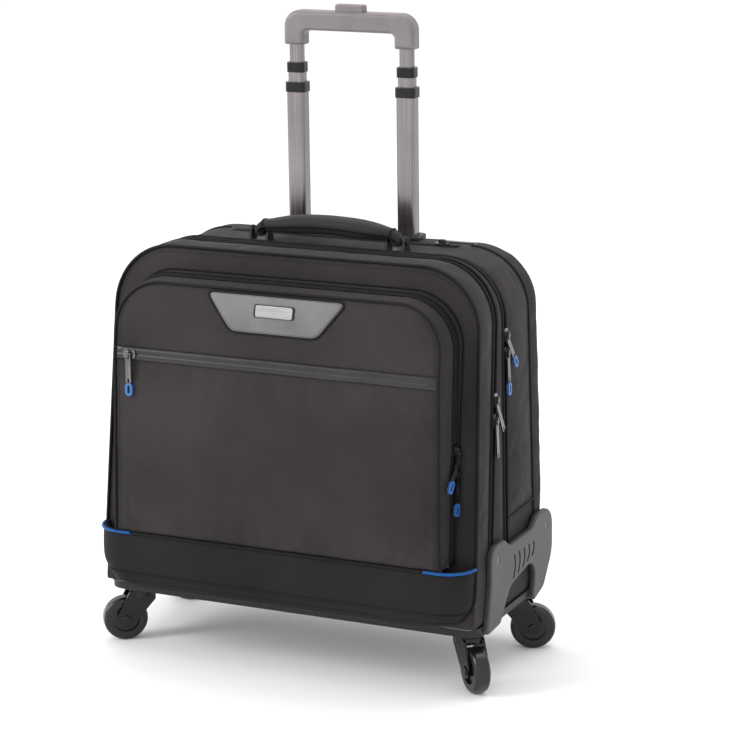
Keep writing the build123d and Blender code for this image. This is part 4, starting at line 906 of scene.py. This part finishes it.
def pocket_panel():
    grid, edge = panel_grid(np.linspace(POCKET_LOW + 0.4, LOWER_TOP, 38))
    z = grid[..., 2]
    edge = np.minimum(edge, np.minimum(z - POCKET_LOW + 1, LOWER_TOP - z + 2))
    folds = lumps(grid * np.array([1.0, 1.0, 0.3]), 62.0, 51) * step_between(6.0, 40.0, edge)
    grid[..., 1] -= 2.6 * folds
    grid = padded_grid(grid, edge, 0.9, 0.9, 1.3, 12, AHEAD)
    skin("pocket_panel_lower", grid, "pocket_flap", "flap_shell", outward=AHEAD,
         air=(seam_hold(edge), 3.5, 2.4, 0.02))
    heights = EDGE[:POCKET_CORNER_END, 1]
    heights = heights[(heights > UPPER_LOW + 1.5) & (heights < PANEL_TOP - 0.01)]
    grid, edge = panel_grid(np.concatenate([[UPPER_LOW], heights, [PANEL_TOP]]))
    edge = np.minimum(edge, grid[..., 2] - UPPER_LOW + 2)
    grid = padded_grid(grid, edge, 0.6, 0.6, 0.3, 14, AHEAD)
    skin("pocket_panel_upper", grid, "pocket_flap", "flap_shell", outward=AHEAD)


def pocket_sides():
    zip_front, _ = pocket_line(POCKET_ZIP, -0.25 - TAPE)
    grid, edge = between_lines(in_space(EDGE, EDGE_Y)[0], zip_front, 5)
    grid = padded_grid(grid, edge, 1.2, 0.4, 0.3, 16)
    skin("pocket_flap_side", grid, "pocket_flap", "flap_shell", air=(seam_hold(edge), 3.0, 0.8, 0.01))
    zip_back, _ = pocket_line(POCKET_ZIP, 2.25)
    grid, edge = between_lines(zip_back, pocket_line(FRONT_PLANE, 0.0)[0], 4)
    grid = padded_grid(grid, edge, 0.5, 0.2, 0.2, 18)
    skin("pocket_base_side", grid, "front_section", "pocket_gusset", thick=1.6)


pocket_panel()
pocket_sides()

# %% [markdown]
# ### The slip pocket's zip
# The slip pocket opens under a coated tape: two lips that meet in the middle and hide the
# coil. The tape is glossier than the cloth, which makes it the brightest line on the
# panel. Both lips are one strip with a groove in it, sewn down along each edge.

# %% Slip pocket zip
LIP_PROFILE = ((-6.6, 0.0), (-6.2, 0.9), (-5.0, 1.5), (-2.4, 2.0), (-0.5, 1.7), (0.0, 0.9),
               (0.5, 1.7), (2.4, 2.0), (5.0, 1.5), (6.2, 0.9), (6.6, 0.0))  # height, lift


def slip_zip():
    x = np.linspace(-SLIP_HALF, SLIP_HALF, 90)
    fade = np.clip((SLIP_HALF - np.abs(x)) / 3.0, 0.25, 1)
    sway = 0.25 * lumps(np.stack([x, x * 0, x * 0], 1), 40, 3)
    rows = []
    for dz, out in LIP_PROFILE:
        z = SLIP_Z + dz + sway
        rows.append(np.stack([x, panel_y(z) - 0.2 - out * fade, z], axis=1))
    skin("slip_zip_lips", np.array(rows), "pocket_flap", "slip_zip_tape", 0.8, AHEAD,
         (taped_zip, taped_zip))
    for name, z in (("slip_stitch_low", SLIP_Z - 5.6), ("slip_stitch_high", SLIP_Z + 5.6)):
        line = np.stack([x, x * 0 + panel_y(z) - 1.35, x * 0 + z], axis=1)
        stitch_row(name, line, AHEAD, "pocket_flap", 2.8, width=0.5)


slip_zip()

# %% [markdown]
# ### The badge
# The badge is a trapezoid of coated board in a dark bound edge, sewn on above the slip
# pocket and bent with the panel. A blank bright plate in a dark frame sits on it. The
# board is a mesh of rings: its rounded outline shrunk step by step towards its middle,
# and closed by one point there.

# %% Badge
BADGE_LOW, BADGE_TOP, BADGE_TOP_HALF, BADGE_LOW_HALF = 349.5, 386.5, 77.0, 47.0
BADGE_RINGS = ((1.0, 0.3), (0.985, 1.1), (0.96, 1.45), (0.9, 1.6), (0.75, 1.65), (0.55, 1.65),
               (0.35, 1.65), (0.15, 1.65), (0.0, 1.65))  # share of the outline, lift
PLATE_Z, PLATE_HALF, PLATE_RISE = 372.0, 20.5, 5.75
FRAME_RINGS = ((0.55, 1.4), (0.5, 2.6), (0.2, 3.3), (-0.12, 3.3), (-0.2, 2.4))  # growth, lift


def rounded_loop(corners, radii, steps=8):
    """Closed loop through corners, each rounded by its radius."""
    loop = []
    for k, corner in enumerate(corners):
        here = np.array(corner, float)
        before = unit(np.array(corners[k - 1], float) - here)
        after = unit(np.array(corners[(k + 1) % len(corners)], float) - here)
        half = math.acos(np.clip(before @ after, -1, 1)) / 2
        reach = radii[k] / math.tan(half)
        first, last = here + before * reach, here + after * reach
        for t in np.linspace(0, 1, steps):
            loop.append((1 - t) ** 2 * first + 2 * t * (1 - t) * here + t * t * last)
    return np.array(loop)


def on_panel(loop, out):
    """Front-view points laid on the padded panel and lifted off it."""
    x, z = loop[:, 0], loop[:, 1]
    return np.stack([x, panel_y(z) - crown(x, z) - out, z], axis=1)


def badge():
    loop = rounded_loop(
        [(-BADGE_TOP_HALF, BADGE_TOP), (BADGE_TOP_HALF, BADGE_TOP),
         (BADGE_LOW_HALF, BADGE_LOW), (-BADGE_LOW_HALF, BADGE_LOW)],
        [5, 5, 15, 15],
    )
    loop = resample(np.vstack([loop, loop[:1]]), 3.0)[:-1]
    middle = loop.mean(axis=0)
    points = [on_panel(middle + (loop - middle) * share, out) for share, out in BADGE_RINGS[:-1]]
    points.append(on_panel(middle[None], BADGE_RINGS[-1][1]))
    count, tip = len(loop), (len(BADGE_RINGS) - 1) * len(loop)
    faces = grid_quads(len(BADGE_RINGS) - 1, count, ring=True)
    faces += [(tip - count + c, tip - count + (c + 1) % count, tip) for c in range(count)]
    board = mesh_piece("badge_board", np.vstack(points), faces, "pocket_flap", (badge_face,))
    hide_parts("badge_plate")
    rim = on_panel(np.vstack([loop, loop[:3]]), 0.9)
    cord("badge_binding", rim, 1.25, AHEAD, "pocket_flap", spacing=2.0)
    inner = middle + (loop - middle) * np.array([0.955, 0.90])
    inner = on_panel(np.vstack([inner, inner[:1]]), 1.6)
    stitch_row("badge_stitch", inner, AHEAD, "pocket_flap", 2.6, width=0.45, lift=0.05)


def plate_frame():
    corners = [(x * PLATE_HALF, PLATE_Z + z * PLATE_RISE) for x, z in ((-1, 1), (1, 1), (1, -1), (-1, -1))]
    loop = rounded_loop(corners, [2.5] * 4)
    outwards = (loop - np.array([0, PLATE_Z])) / 8.0
    rings = np.array([on_panel(loop + outwards * grow, out) for grow, out in FRAME_RINGS])
    faces = grid_quads(len(rings), len(loop), ring=True)
    mesh_piece("name_plate_frame", rings, faces, "pocket_flap", (tray_black,))


badge()
plate_frame()

# %% [markdown]
# ## The foot band
# A tougher band wraps the foot of the pocket like a boot: its front corners are round
# when seen from above, its lower corners are round when seen from the front, and its
# lower edge rolls under. Each row of the grid is a rounded rectangle at one height, as
# wide and as far forward as those curves allow, stopped at the lid's front plane. The
# band's bulge is drawn and not blown up.

# %% Foot band
BAND_TOP, BAND_HALF = 134.0, 204.0
BAND_SIDE, BAND_CORNER, BAND_KEEL = 28.0, 34.0, 14.0  # radii seen from above, front and side
BAND_SEAM_Z = 88.0
BLUE_FROM, BLUE_BACK = 161.6, -81.0  # the blue line starts here and ends at this depth


def band_row(z, inset=0.0):
    """One row of the band at a height: from the left seam round the front to the right."""
    corner = max(0.0, BODY_LOW + BAND_CORNER - z)
    half = BAND_HALF - BAND_CORNER + math.sqrt(max(BAND_CORNER**2 - corner**2, 0)) - inset
    keel = max(0.0, BODY_LOW + BAND_KEEL - z)
    front = PANEL_FOOT[0] + BAND_KEEL - math.sqrt(max(BAND_KEEL**2 - keel**2, 0)) + inset
    back = lean(FRONT_PLANE, z) + 0.6
    centre = (half - BAND_SIDE, front + BAND_SIDE)
    rise = max(min((back - centre[1]) / BAND_SIDE, 1.0), -1.0)
    first = math.asin(rise)
    side = [(centre[0] + BAND_SIDE * math.cos(a), centre[1] + BAND_SIDE * math.sin(a))
            for a in np.linspace(first, -math.pi / 2, 16)]
    level = [(x, front) for x in np.linspace(centre[0], -centre[0], 61)[1:-1]]
    row = side + level + [(-x, y) for x, y in reversed(side)]
    return np.array([(x, y, z) for x, y in row])


def foot_band():
    heights = list(np.linspace(BAND_TOP, BODY_LOW + BAND_CORNER, 8))
    angles = np.linspace(0, math.pi / 2, 13)[1:]
    heights += [BODY_LOW + BAND_CORNER * (1 - math.sin(a)) for a in angles]
    rows = [band_row(z) for z in heights] + [band_row(BODY_LOW, 5.0), band_row(BODY_LOW, 9.0)]
    grid = np.array(rows)
    down = np.array(heights + [BODY_LOW] * 2)[:, None]
    places = np.arange(grid.shape[1])
    edge = np.minimum(np.minimum(BAND_TOP - down, 40.0), 3.0 * np.minimum(places, places[::-1])[None])
    edge = np.minimum(edge, np.abs(grid[..., 2] - BAND_SEAM_Z) + 1.5)
    grid = padded_grid(grid, edge, 1.4, 0.5, 1.0, 21)
    skin("foot_band", grid, "front_section", "bottom_band", paints=(band_cloth, lining))
    for name, z, radius in (("foot_band_seam_high", 89.5, 1.0), ("foot_band_seam_low", 80.5, 1.2)):
        cord(name, band_row(z, -0.5), radius, ABOVE, "front_section")
    line = band_row(BAND_TOP - 4.2, -0.9)
    stitch_row("foot_band_stitch", line, unit(line * np.array([1, 1, 0]) - np.array([0, 60, 0])),
               "front_section", 3.4)


def blue_piping():
    row = band_row(BAND_TOP - 1.5, -0.9)
    for side, name in ((1, "blue_piping_right"), (-1, "blue_piping_left")):
        part = row[(row[:, 0] * side > BLUE_FROM) & (row[:, 1] < BLUE_BACK)]
        part = part if part[0, 0] * side < part[-1, 0] * side else part[::-1]
        start = part[0] * np.array([0, 1, 1]) + np.array([side * BLUE_FROM, 0, 0])
        cord(name, np.vstack([start, part]), 1.55, ABOVE, "front_section", blue_cloth, 2.0)
    dark = row[np.abs(row[:, 0]) < BLUE_FROM - 1.1]
    cord("band_top_piping", dark, 1.1, ABOVE, "front_section", spacing=4.0)
    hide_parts("blue_piping")


foot_band()
blue_piping()

# %% [markdown]
# ## Zips
# Each zip runs round the arch between two sections. On each side of the leaning plane
# lies a tape, a little below the skin, and along its inner edge one row of the coil. The
# tape and the row ride with their own section, so that the zip parts when a lid opens.

# %% Zips round the body
TAPE_PROFILE = ((0.35, 0.0), (1.0, 0.5), (1.7, 0.5), (2.4, 0.0), (3.72, -0.1), (6.2, 0.3))
POCKET_TAPE_PROFILE = ((0.4, -0.5), (1.0, 0.1), (1.7, 0.1), (2.4, -0.4))
TOP_TAPE_PROFILE = ((0.35, 0.3), (1.0, 0.8), (1.8, 0.8), (2.6, 0.4), (5.0, 0.5), (5.6, -0.6))
TOP_ZIP_Y, TOP_ZIP_Z = 66.0, 414.6


def tape(name, rows, body, node=None, outward=None):
    """A zip tape: a flat strip with a raised lip beside the coil."""
    skin(name, np.array(rows), body, node, 0.8, outward, (tape_cloth, tape_cloth), False)


def zip_round(label, outline, plane, bodies, nodes, inset=0.9):
    line, ups = on_plane(outline, plane)
    keep = line[:, 2] > 84.0
    for sign, word, body, node in ((-1, "front", bodies[0], nodes[0]), (1, "back", bodies[1], nodes[1])):
        rows = [line + ups * (up - inset) + np.array([0, sign * away, 0]) for away, up in TAPE_PROFILE]
        tape(f"{label}_tape_{word}", rows, body, node)
        coil_row(f"{label}_coil_{word}", (line - ups * (inset - 0.1))[keep], ups[keep], -sign, body)


def pocket_zip():
    for sign, word, body, reach in ((-1, "front", "pocket_flap", 4.6), (1, "back", "front_section", 2.4)):
        rows = []
        for away, up in (*POCKET_TAPE_PROFILE, (reach, -0.2)):
            line, ups = pocket_line(POCKET_ZIP, sign * away)
            rows.append(line + ups * up)
        tape(f"pocket_zip_tape_{word}", rows, body)
        line, ups = pocket_line(POCKET_ZIP, 0.0)
        keep = line[:, 2] > 142.0
        coil_row(f"pocket_zip_coil_{word}", (line - ups * 0.25)[keep], ups[keep], -sign, body, 1.5, 1.8, 0.8)


def top_zip():
    """Short zip across the top of the rear shell."""
    x = np.linspace(-125, 125, 60)
    line = np.stack([x, x * 0 + TOP_ZIP_Y, x * 0 + TOP_ZIP_Z], axis=1)
    for sign, word in ((-1, "front"), (1, "back")):
        rows = [line + np.array([0, sign * away, up]) for away, up in TOP_TAPE_PROFILE]
        tape(f"top_zip_tape_{word}", rows, "case", "rear_zip_tapes", ABOVE)
        coil_row(f"top_zip_coil_{word}", line + [0, 0, 0.6], ABOVE, -sign, "case")
        stitch_row(f"top_zip_stitch_{word}", line + [0, sign * 4.4, 0.6], ABOVE, "case", 3.0)


zip_round("front_zip", moved(LID, -0.4), FRONT_ZIP, ("front_section", "laptop_section"),
          ("front_zip_tape", "laptop_zip_tapes"))
zip_round("rear_zip", moved(RING, -0.6), REAR_ZIP, ("laptop_section", "case"),
          ("laptop_zip_tapes", "rear_zip_tapes"))
pocket_zip()
top_zip()

# %% [markdown]
# ## Piping and stitched seams
# Thin black cords mark where panels meet: round the front edge of the lid, round the
# pocket at its panel and at its base, beside each zip, and up the rear shell. They stand
# a little proud and catch the light, which draws the case's outline.

# %% Piping
ARCH_CORDS = (  # name, outline, plane, shift, lift, body
    ("lid_zip_piping", LID, FRONT_ZIP, -TAPE - 0.4, 0.5, "front_section"),
    ("ring_zip_piping_front", RING, FRONT_ZIP, TAPE + 0.4, 0.6, "laptop_section"),
    ("ring_zip_piping_back", RING, REAR_ZIP, -TAPE - 0.4, 0.5, "laptop_section"),
    ("rear_zip_piping", REAR, REAR_ZIP, TAPE + 0.4, 0.5, "case"),
)
ARCH_STITCHES = (
    ("lid_edge_stitch", LID, FRONT_PLANE, 3.6, 0.9, "front_section"),
    ("lid_zip_stitch", LID, FRONT_ZIP, -TAPE - 3.4, 0.7, "front_section"),
    ("ring_stitch_front", RING, FRONT_ZIP, TAPE + 3.4, 0.8, "laptop_section"),
    ("ring_stitch_back", RING, REAR_ZIP, -TAPE - 3.4, 0.8, "laptop_section"),
    ("rear_stitch", REAR, REAR_ZIP, TAPE + 3.4, 0.8, "case"),
)


def lid_edge_cord():
    """Round the arch, and at both feet inwards round the corners of the foot band."""
    line, ups = on_plane(LID, FRONT_PLANE, -0.4)
    line = (line + ups * 0.9)[line[:, 2] > BODY_LOW + BAND_CORNER]
    angles = np.linspace(0.1, math.pi / 2, 10)
    corner = [(204.9 - 34.5 * (1 - math.cos(a)), 106 - 33 * math.sin(a)) for a in angles]
    right = [(x, lean(FRONT_PLANE, z) - 0.4, z) for x, z in corner]
    left = [(-x, y, z) for x, y, z in reversed(right)]
    cord("lid_edge_piping", np.vstack([left, line, right]), 1.7, BEHIND, "front_section")


def arch_cords():
    for name, outline, plane, shift, out, body in ARCH_CORDS:
        line, ups = on_plane(outline, plane, shift)
        cord(name, (line + ups * out)[line[:, 2] + ups[:, 2] * out > 74], 1.15, BEHIND, body)


def pocket_cords():
    line, ups = in_space(EDGE, EDGE_Y - 0.3)
    cord("panel_piping", line + ups * 0.7, 1.6, BEHIND, "pocket_flap")
    stitch_row("panel_stitch", line - ups * 4.2 + [0, -0.6, 0], AHEAD, "pocket_flap", 3.4)
    base, ups = pocket_line(FRONT_PLANE, -0.4)
    cord("pocket_base_piping", base + ups * 0.6, 1.0, BEHIND, "front_section")
    for shift, word, body in ((-5.6, "front", "pocket_flap"), (3.0, "back", "front_section")):
        line, ups = pocket_line(POCKET_ZIP, shift)
        cord(f"pocket_zip_fold_{word}", line + ups * 0.25, 0.9, BEHIND, body)


def rear_cords():
    for side, word, outline in ((1, "right", REAR[-CORNER_END:]), (-1, "left", REAR[:CORNER_END])):
        line, ups = in_space(outline, REAR_SEAM_Y)
        line, ups = line[line[:, 2] > 86], ups[line[:, 2] > 86]
        cord(f"rear_seam_piping_{word}", line + ups * 0.6, 1.2, BEHIND, "case")
        y = np.linspace(lean(REAR_ZIP, REAR_CROSS_Z) + 6, REAR_SEAM_Y - 1.5, 24)
        z = REAR_CROSS_Z + 3.0 * (y - y[0]) / (y[-1] - y[0])
        x = side * (np.interp(z, REAR[:50, 1], -REAR[:50, 0]) + 0.5)
        cross = np.stack([x, y, z], axis=1)
        cord(f"rear_cross_piping_{word}", cross, 1.1, (side, 0, 0), "case")
        stitch_row(f"rear_cross_stitch_{word}", cross + [side * 0.6, 0, 3.6], (side, 0, 0), "case", 3.2)
        stitch_row(f"rear_seam_stitch_{word}", line + ups + [0, -3.6, 0], ups, "case")


def arch_stitches():
    for name, outline, plane, shift, out, body in ARCH_STITCHES:
        line, ups = on_plane(outline, plane, shift)
        keep = line[:, 2] > 150
        stitch_row(name, (line + ups * out)[keep], ups[keep], body)
    line, ups = on_plane(LID, FRONT_PLANE)
    inner = (line - ups * 4.4 + [0, -1.4, 0])[line[:, 2] > 136]
    stitch_row("lid_front_stitch", inner, AHEAD, "front_section")


lid_edge_cord()
arch_cords()
pocket_cords()
rear_cords()
arch_stitches()

# %% [markdown]
# ## Inside the case
# With the lids open the inside shows: a divider behind the laptop, a floor flap that ends
# at the hinge, a padded sleeve with quilted channels and a bound mouth, and a board that
# hides the trolley. All are faced in the same grey cloth.

# %% Divider, floor flap, sleeve and board
UPRIGHT = (0.0, 0.0)  # a plane that doesn't lean
LINED = (lining, lining)
SLEEVE_LOW, SLEEVE_TOP, SLEEVE_HALF = 72.5, 310.0, 185.0
SLEEVE_DEPTH, SLEEVE_TURN, SLEEVE_CHANNEL = 34.0, 9.0, 72.0


def lined_wall(label, outline, plane, shifts, pucker, waves, seed, body, node):
    """The two lined faces of a stiff wall inside an outline."""
    x, z, edge = wall_between(outline)
    faces = (("front", shifts[0], AHEAD, seed), ("back", shifts[1], BEHIND, seed + 2))
    for word, shift, way, number in faces:
        grid = np.stack([x, lean(plane, z) + shift, z], axis=2)
        grid = padded_grid(grid, edge, 0.3, pucker, waves, number, way)
        skin(f"{label}_{word}", grid, body, node, 1.1, way, LINED)


def floor_flap():
    x, y = np.meshgrid(np.linspace(-200, 200, 60), np.linspace(-84, -8, 14))
    grid = np.stack([x, y, 71.0 + 0.25 * lumps(np.stack([x, y, x * 0], 2), 40, 35)], axis=2)
    skin("floor_flap", grid, "laptop_section", "laptop_divider", 1.6, ABOVE, (lining, tray_black))


def sleeve():
    """A trough seen from above, with round corners and upright channels."""
    angles = np.linspace(0.2, math.pi / 2, 7)
    path = [(-SLEEVE_HALF, 0.0), (-SLEEVE_HALF, SLEEVE_DEPTH - SLEEVE_TURN)]
    path += [(-SLEEVE_HALF + SLEEVE_TURN * (1 - math.cos(a)), SLEEVE_DEPTH - SLEEVE_TURN * (1 - math.sin(a)))
             for a in angles]
    path += [(x, SLEEVE_DEPTH) for x in np.linspace(SLEEVE_TURN - SLEEVE_HALF, 0, 34)[1:]]
    path = np.array(path + [(-x, d) for x, d in path[-2::-1]])
    channel = np.abs((path[:, 0] + SLEEVE_CHANNEL / 2) % SLEEVE_CHANNEL - SLEEVE_CHANNEL / 2)
    rows, edges = [], []
    for z in np.linspace(SLEEVE_LOW, SLEEVE_TOP, 46):
        y = lean(REAR_ZIP, z) - TAPE - 3.0 - path[:, 1]
        rows.append(np.stack([path[:, 0], y, np.full(len(path), z)], axis=1))
        edges.append(np.minimum(channel + 0.5, min(z - SLEEVE_LOW, SLEEVE_TOP - z) + 1))
    grid = padded_grid(np.array(rows), np.array(edges), 1.6, 0.4, 0.4, 37)
    skin("laptop_sleeve_pad", grid, "laptop_section", "laptop_sleeve", 2.4, paints=LINED)
    cord("sleeve_binding", rows[-1] + [0, 0, 0.6], 1.7, ABOVE, "laptop_section")


lined_wall("divider", moved(RING, -3.4), REAR_ZIP, (-TAPE - 3.2, -TAPE + 0.2), 0.3, 0.5, 31,
           "laptop_section", "laptop_divider")
floor_flap()
sleeve()
lined_wall("trolley_board", arch(198.6, 190.1, 69.5, 410.6, 56.6), UPRIGHT, (72.1, 74.9), 0.2, 0.4, 41,
           "case", "back_board")

# %% [markdown]
# ## The carry handle
# The handle is a strap with a fat pad over it. In section it is a flattened oval, widest
# and thickest in the middle, drawn in to a plain strap at each foot, where the mount's
# pin holds it. It is swept along a gentle arch and then puffed by a cloth simulation: the
# ends are pinned and air pressure fills the pad.

# %% Handle sections
HANDLE_Y, FOOT_X = 28.5, 75.5
STRAP_LOW, STRAP_TOP, ARCH_FOOT_Z, ARCH_RISE = 419.5, 423.5, 430.5, 4.6
SHOULDER = 12.0  # how far in from the foot the shoulder ends
HANDLE_SIDES = 28


def handle_path():
    """Middle line of the handle: up a strap, round a shoulder and along a low arch."""
    left = [(-FOOT_X, z) for z in np.linspace(STRAP_LOW, STRAP_TOP, 4)]
    left += [(-FOOT_X + SHOULDER * (1 - math.cos(a)), STRAP_TOP + (ARCH_FOOT_Z - STRAP_TOP) * math.sin(a))
             for a in np.linspace(0, math.pi / 2, 10)[1:]]
    reach = FOOT_X - SHOULDER
    left += [(x, ARCH_FOOT_Z + ARCH_RISE * (1 - abs(x / reach) ** 1.8))
             for x in np.linspace(-reach, 0, 26)[1:]]
    whole = left + [(-x, z) for x, z in reversed(left[:-1])]
    return np.array([(x, HANDLE_Y, z) for x, z in whole])


def handle_grid(path):
    """Rings of the handle: a strap at the feet, a fat oval in the middle."""
    run = np.concatenate([[0], np.cumsum(np.linalg.norm(np.diff(path, axis=0), axis=1))])
    share = np.minimum(run, run[-1] - run)[:, None, None]
    tip = 0.75 + 0.25 * step_between(-2.0, 5.0, share)
    wide = (7.0 + 7.4 * step_between(6.0, 38.0, share)) * tip
    thick = (6.2 + 3.0 * step_between(8.0, 52.0, share)) * tip
    across = np.array([0.0, 1.0, 0.0])
    lift = np.cross(tangents_of(path), across)[:, None]
    turn = np.linspace(0, 2 * math.pi, HANDLE_SIDES, endpoint=False)
    c, s = np.cos(turn)[:, None], np.sin(turn)[:, None]
    round_c, round_s = np.sign(c) * np.abs(c) ** 0.75, np.sign(s) * np.abs(s) ** 0.8
    return path[:, None] + across * wide * round_c + lift * thick * round_s


def carry_handle():
    path = handle_path()
    rings = handle_grid(path)
    faces = grid_quads(len(rings), HANDLE_SIDES, ring=True)
    base = len(rings) * HANDLE_SIDES
    pairs = [(c, (c + 1) % HANDLE_SIDES) for c in range(HANDLE_SIDES)]
    faces += [(c, base, after) for c, after in pairs]
    faces += [(base - HANDLE_SIDES + c, base - HANDLE_SIDES + after, base + 1) for c, after in pairs]
    points = np.vstack([rings.reshape(-1, 3), path[0] - [0, 0, 0.8], path[-1] - [0, 0, 0.8]])
    return mesh_piece("carry_handle_pad", points, faces, "carry_handle", (handle_cloth,)), rings


handle, handle_rings = carry_handle()
print("handle faces", len(handle.data.polygons))

# %% [markdown]
# ### Filling the pad
# The handle is blown up in the same way as the panels: the vertices near its feet are
# pinned and the pressure swells the pad. It swells by less than a millimetre, so the
# bindings and stitches are laid on the rings that it was drawn from, lifted off them.

# %% Fill and bind the handle
def fill_handle():
    share = np.abs(points_of(handle.data)[:, 0]) / (FOOT_X * MM)
    moved_by = swell(handle, step_between(0.72, 0.92, share), 3.0, 2.2)
    soften(handle)
    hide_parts("carry_handle")
    return moved_by


def lifted_line(rings, column, away):
    """One line along the rings, moved out from their middles; also its outward directions."""
    out = unit(rings[:, column] - rings.mean(axis=1))
    return rings[:, column] + out * away, out


def handle_seams():
    half = HANDLE_SIDES // 2
    for word, column in (("back", 0), ("front", half)):
        line, _ = lifted_line(handle_rings[4:-4], column, 0.9)
        cord(f"handle_binding_{word}", line, 1.25, ABOVE, "carry_handle")
    for word, column in (("back", 3), ("front", half - 3)):
        line, out = lifted_line(handle_rings[8:-8], column, 0.6)
        stitch_row(f"handle_stitch_{word}", line, out, "carry_handle", 3.2)
    for side, at in enumerate((9, len(handle_rings) - 10)):
        ring = handle_rings[at]
        middle = ring.mean(axis=0)
        loop = middle + (np.vstack([ring, ring[:2]]) - middle) * 1.05
        along = unit((handle_rings[at + 1] - ring).mean(axis=0))
        cord(f"handle_collar_{side}", loop, 1.0, along, "carry_handle")


print("handle swelled by", round(fill_handle(), 2), "mm")
handle_seams()

# %% [markdown]
# ## Hard parts from the CAD model
# Tubes, brackets, wheels, plates and sliders already have the right shape. They only get
# their finishes, and the handle's mounts a worn edge. Where one node holds two materials,
# such as a pull tab with its blue ring, the faces are sorted by which solid they belong
# to: points at the same place are joined, and each connected group is one solid.

# %% Finish the CAD nodes
def solids_of(node):
    """For each face of a node, the number of its solid, and each solid's surface area."""
    mesh = node.data
    _, same = np.unique(np.round(points_of(mesh), 6), axis=0, return_inverse=True)
    same = same.ravel()
    parent = list(range(int(same.max()) + 1))

    def root(i):
        while parent[i] != i:
            parent[i] = parent[parent[i]]
            i = parent[i]
        return i

    for face in mesh.polygons:
        first = root(int(same[face.vertices[0]]))
        for v in face.vertices[1:]:
            parent[root(int(same[v]))] = first
    found = [root(int(same[face.vertices[0]])) for face in mesh.polygons]
    names = {r: k for k, r in enumerate(sorted(set(found)))}
    labels = np.array([names[r] for r in found])
    areas = np.array([face.area for face in mesh.polygons])
    return labels, [float(areas[labels == k].sum()) for k in range(len(names))]


def finish_node(name, *paints):
    """Give a node its finish; with two, the solid with more surface gets the first."""
    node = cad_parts[name]
    node.data.materials.clear()
    for paint in paints:
        node.data.materials.append(paint)
    if len(paints) > 1:
        labels, areas = solids_of(node)
        order = sorted(range(len(areas)), key=lambda k: -areas[k])
        index = [min(order.index(label), len(paints) - 1) for label in labels]
        node.data.polygons.foreach_set("material_index", index)


RINGED = ("slip_zip", "pocket_zip_upper", "pocket_zip_lower", "rear_zip_upper", "rear_zip_lower")
METAL_ONLY = ("front_zip_upper", "front_zip_lower", "top_zip")
NODE_FINISHES = (
    ("bracket_left bracket_right", bracket_grey),
    ("bracket_screws", screw_grey),
    ("base_tray tube_foot top_bezel handle_mounts", tray_black),
    ("back_panel", panel_black),
    ("outer_tubes stage_1_tubes stage_2_tubes stage_3_tubes", tube_metal),
    ("stage_1_collars stage_2_collars", polished_black),
    ("grip button", grip_plastic),
    ("push_rods button_spring", rivet_steel),
    ("name_plate", plate_chrome),
)
for names, paint in NODE_FINISHES:
    for name in names.split():
        finish_node(name, paint)
for corner in ("front_left", "front_right", "rear_left", "rear_right"):
    finish_node("fork_" + corner, polished_black, rivet_steel)
    finish_node("wheel_" + corner, tyre_rubber, polished_black)
for zip_name in (*RINGED, *METAL_ONLY):
    finish_node("slider_" + zip_name, pull_metal)
    finish_node("tab_" + zip_name, pull_metal, *[blue_paint] * (zip_name in RINGED))
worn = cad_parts["handle_mounts"].modifiers.new("worn_edge", "BEVEL")
worn.width, worn.segments = 0.25 * MM, 2
worn.limit_method, worn.angle_limit = "ANGLE", math.radians(40)
print("finished nodes", len(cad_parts))
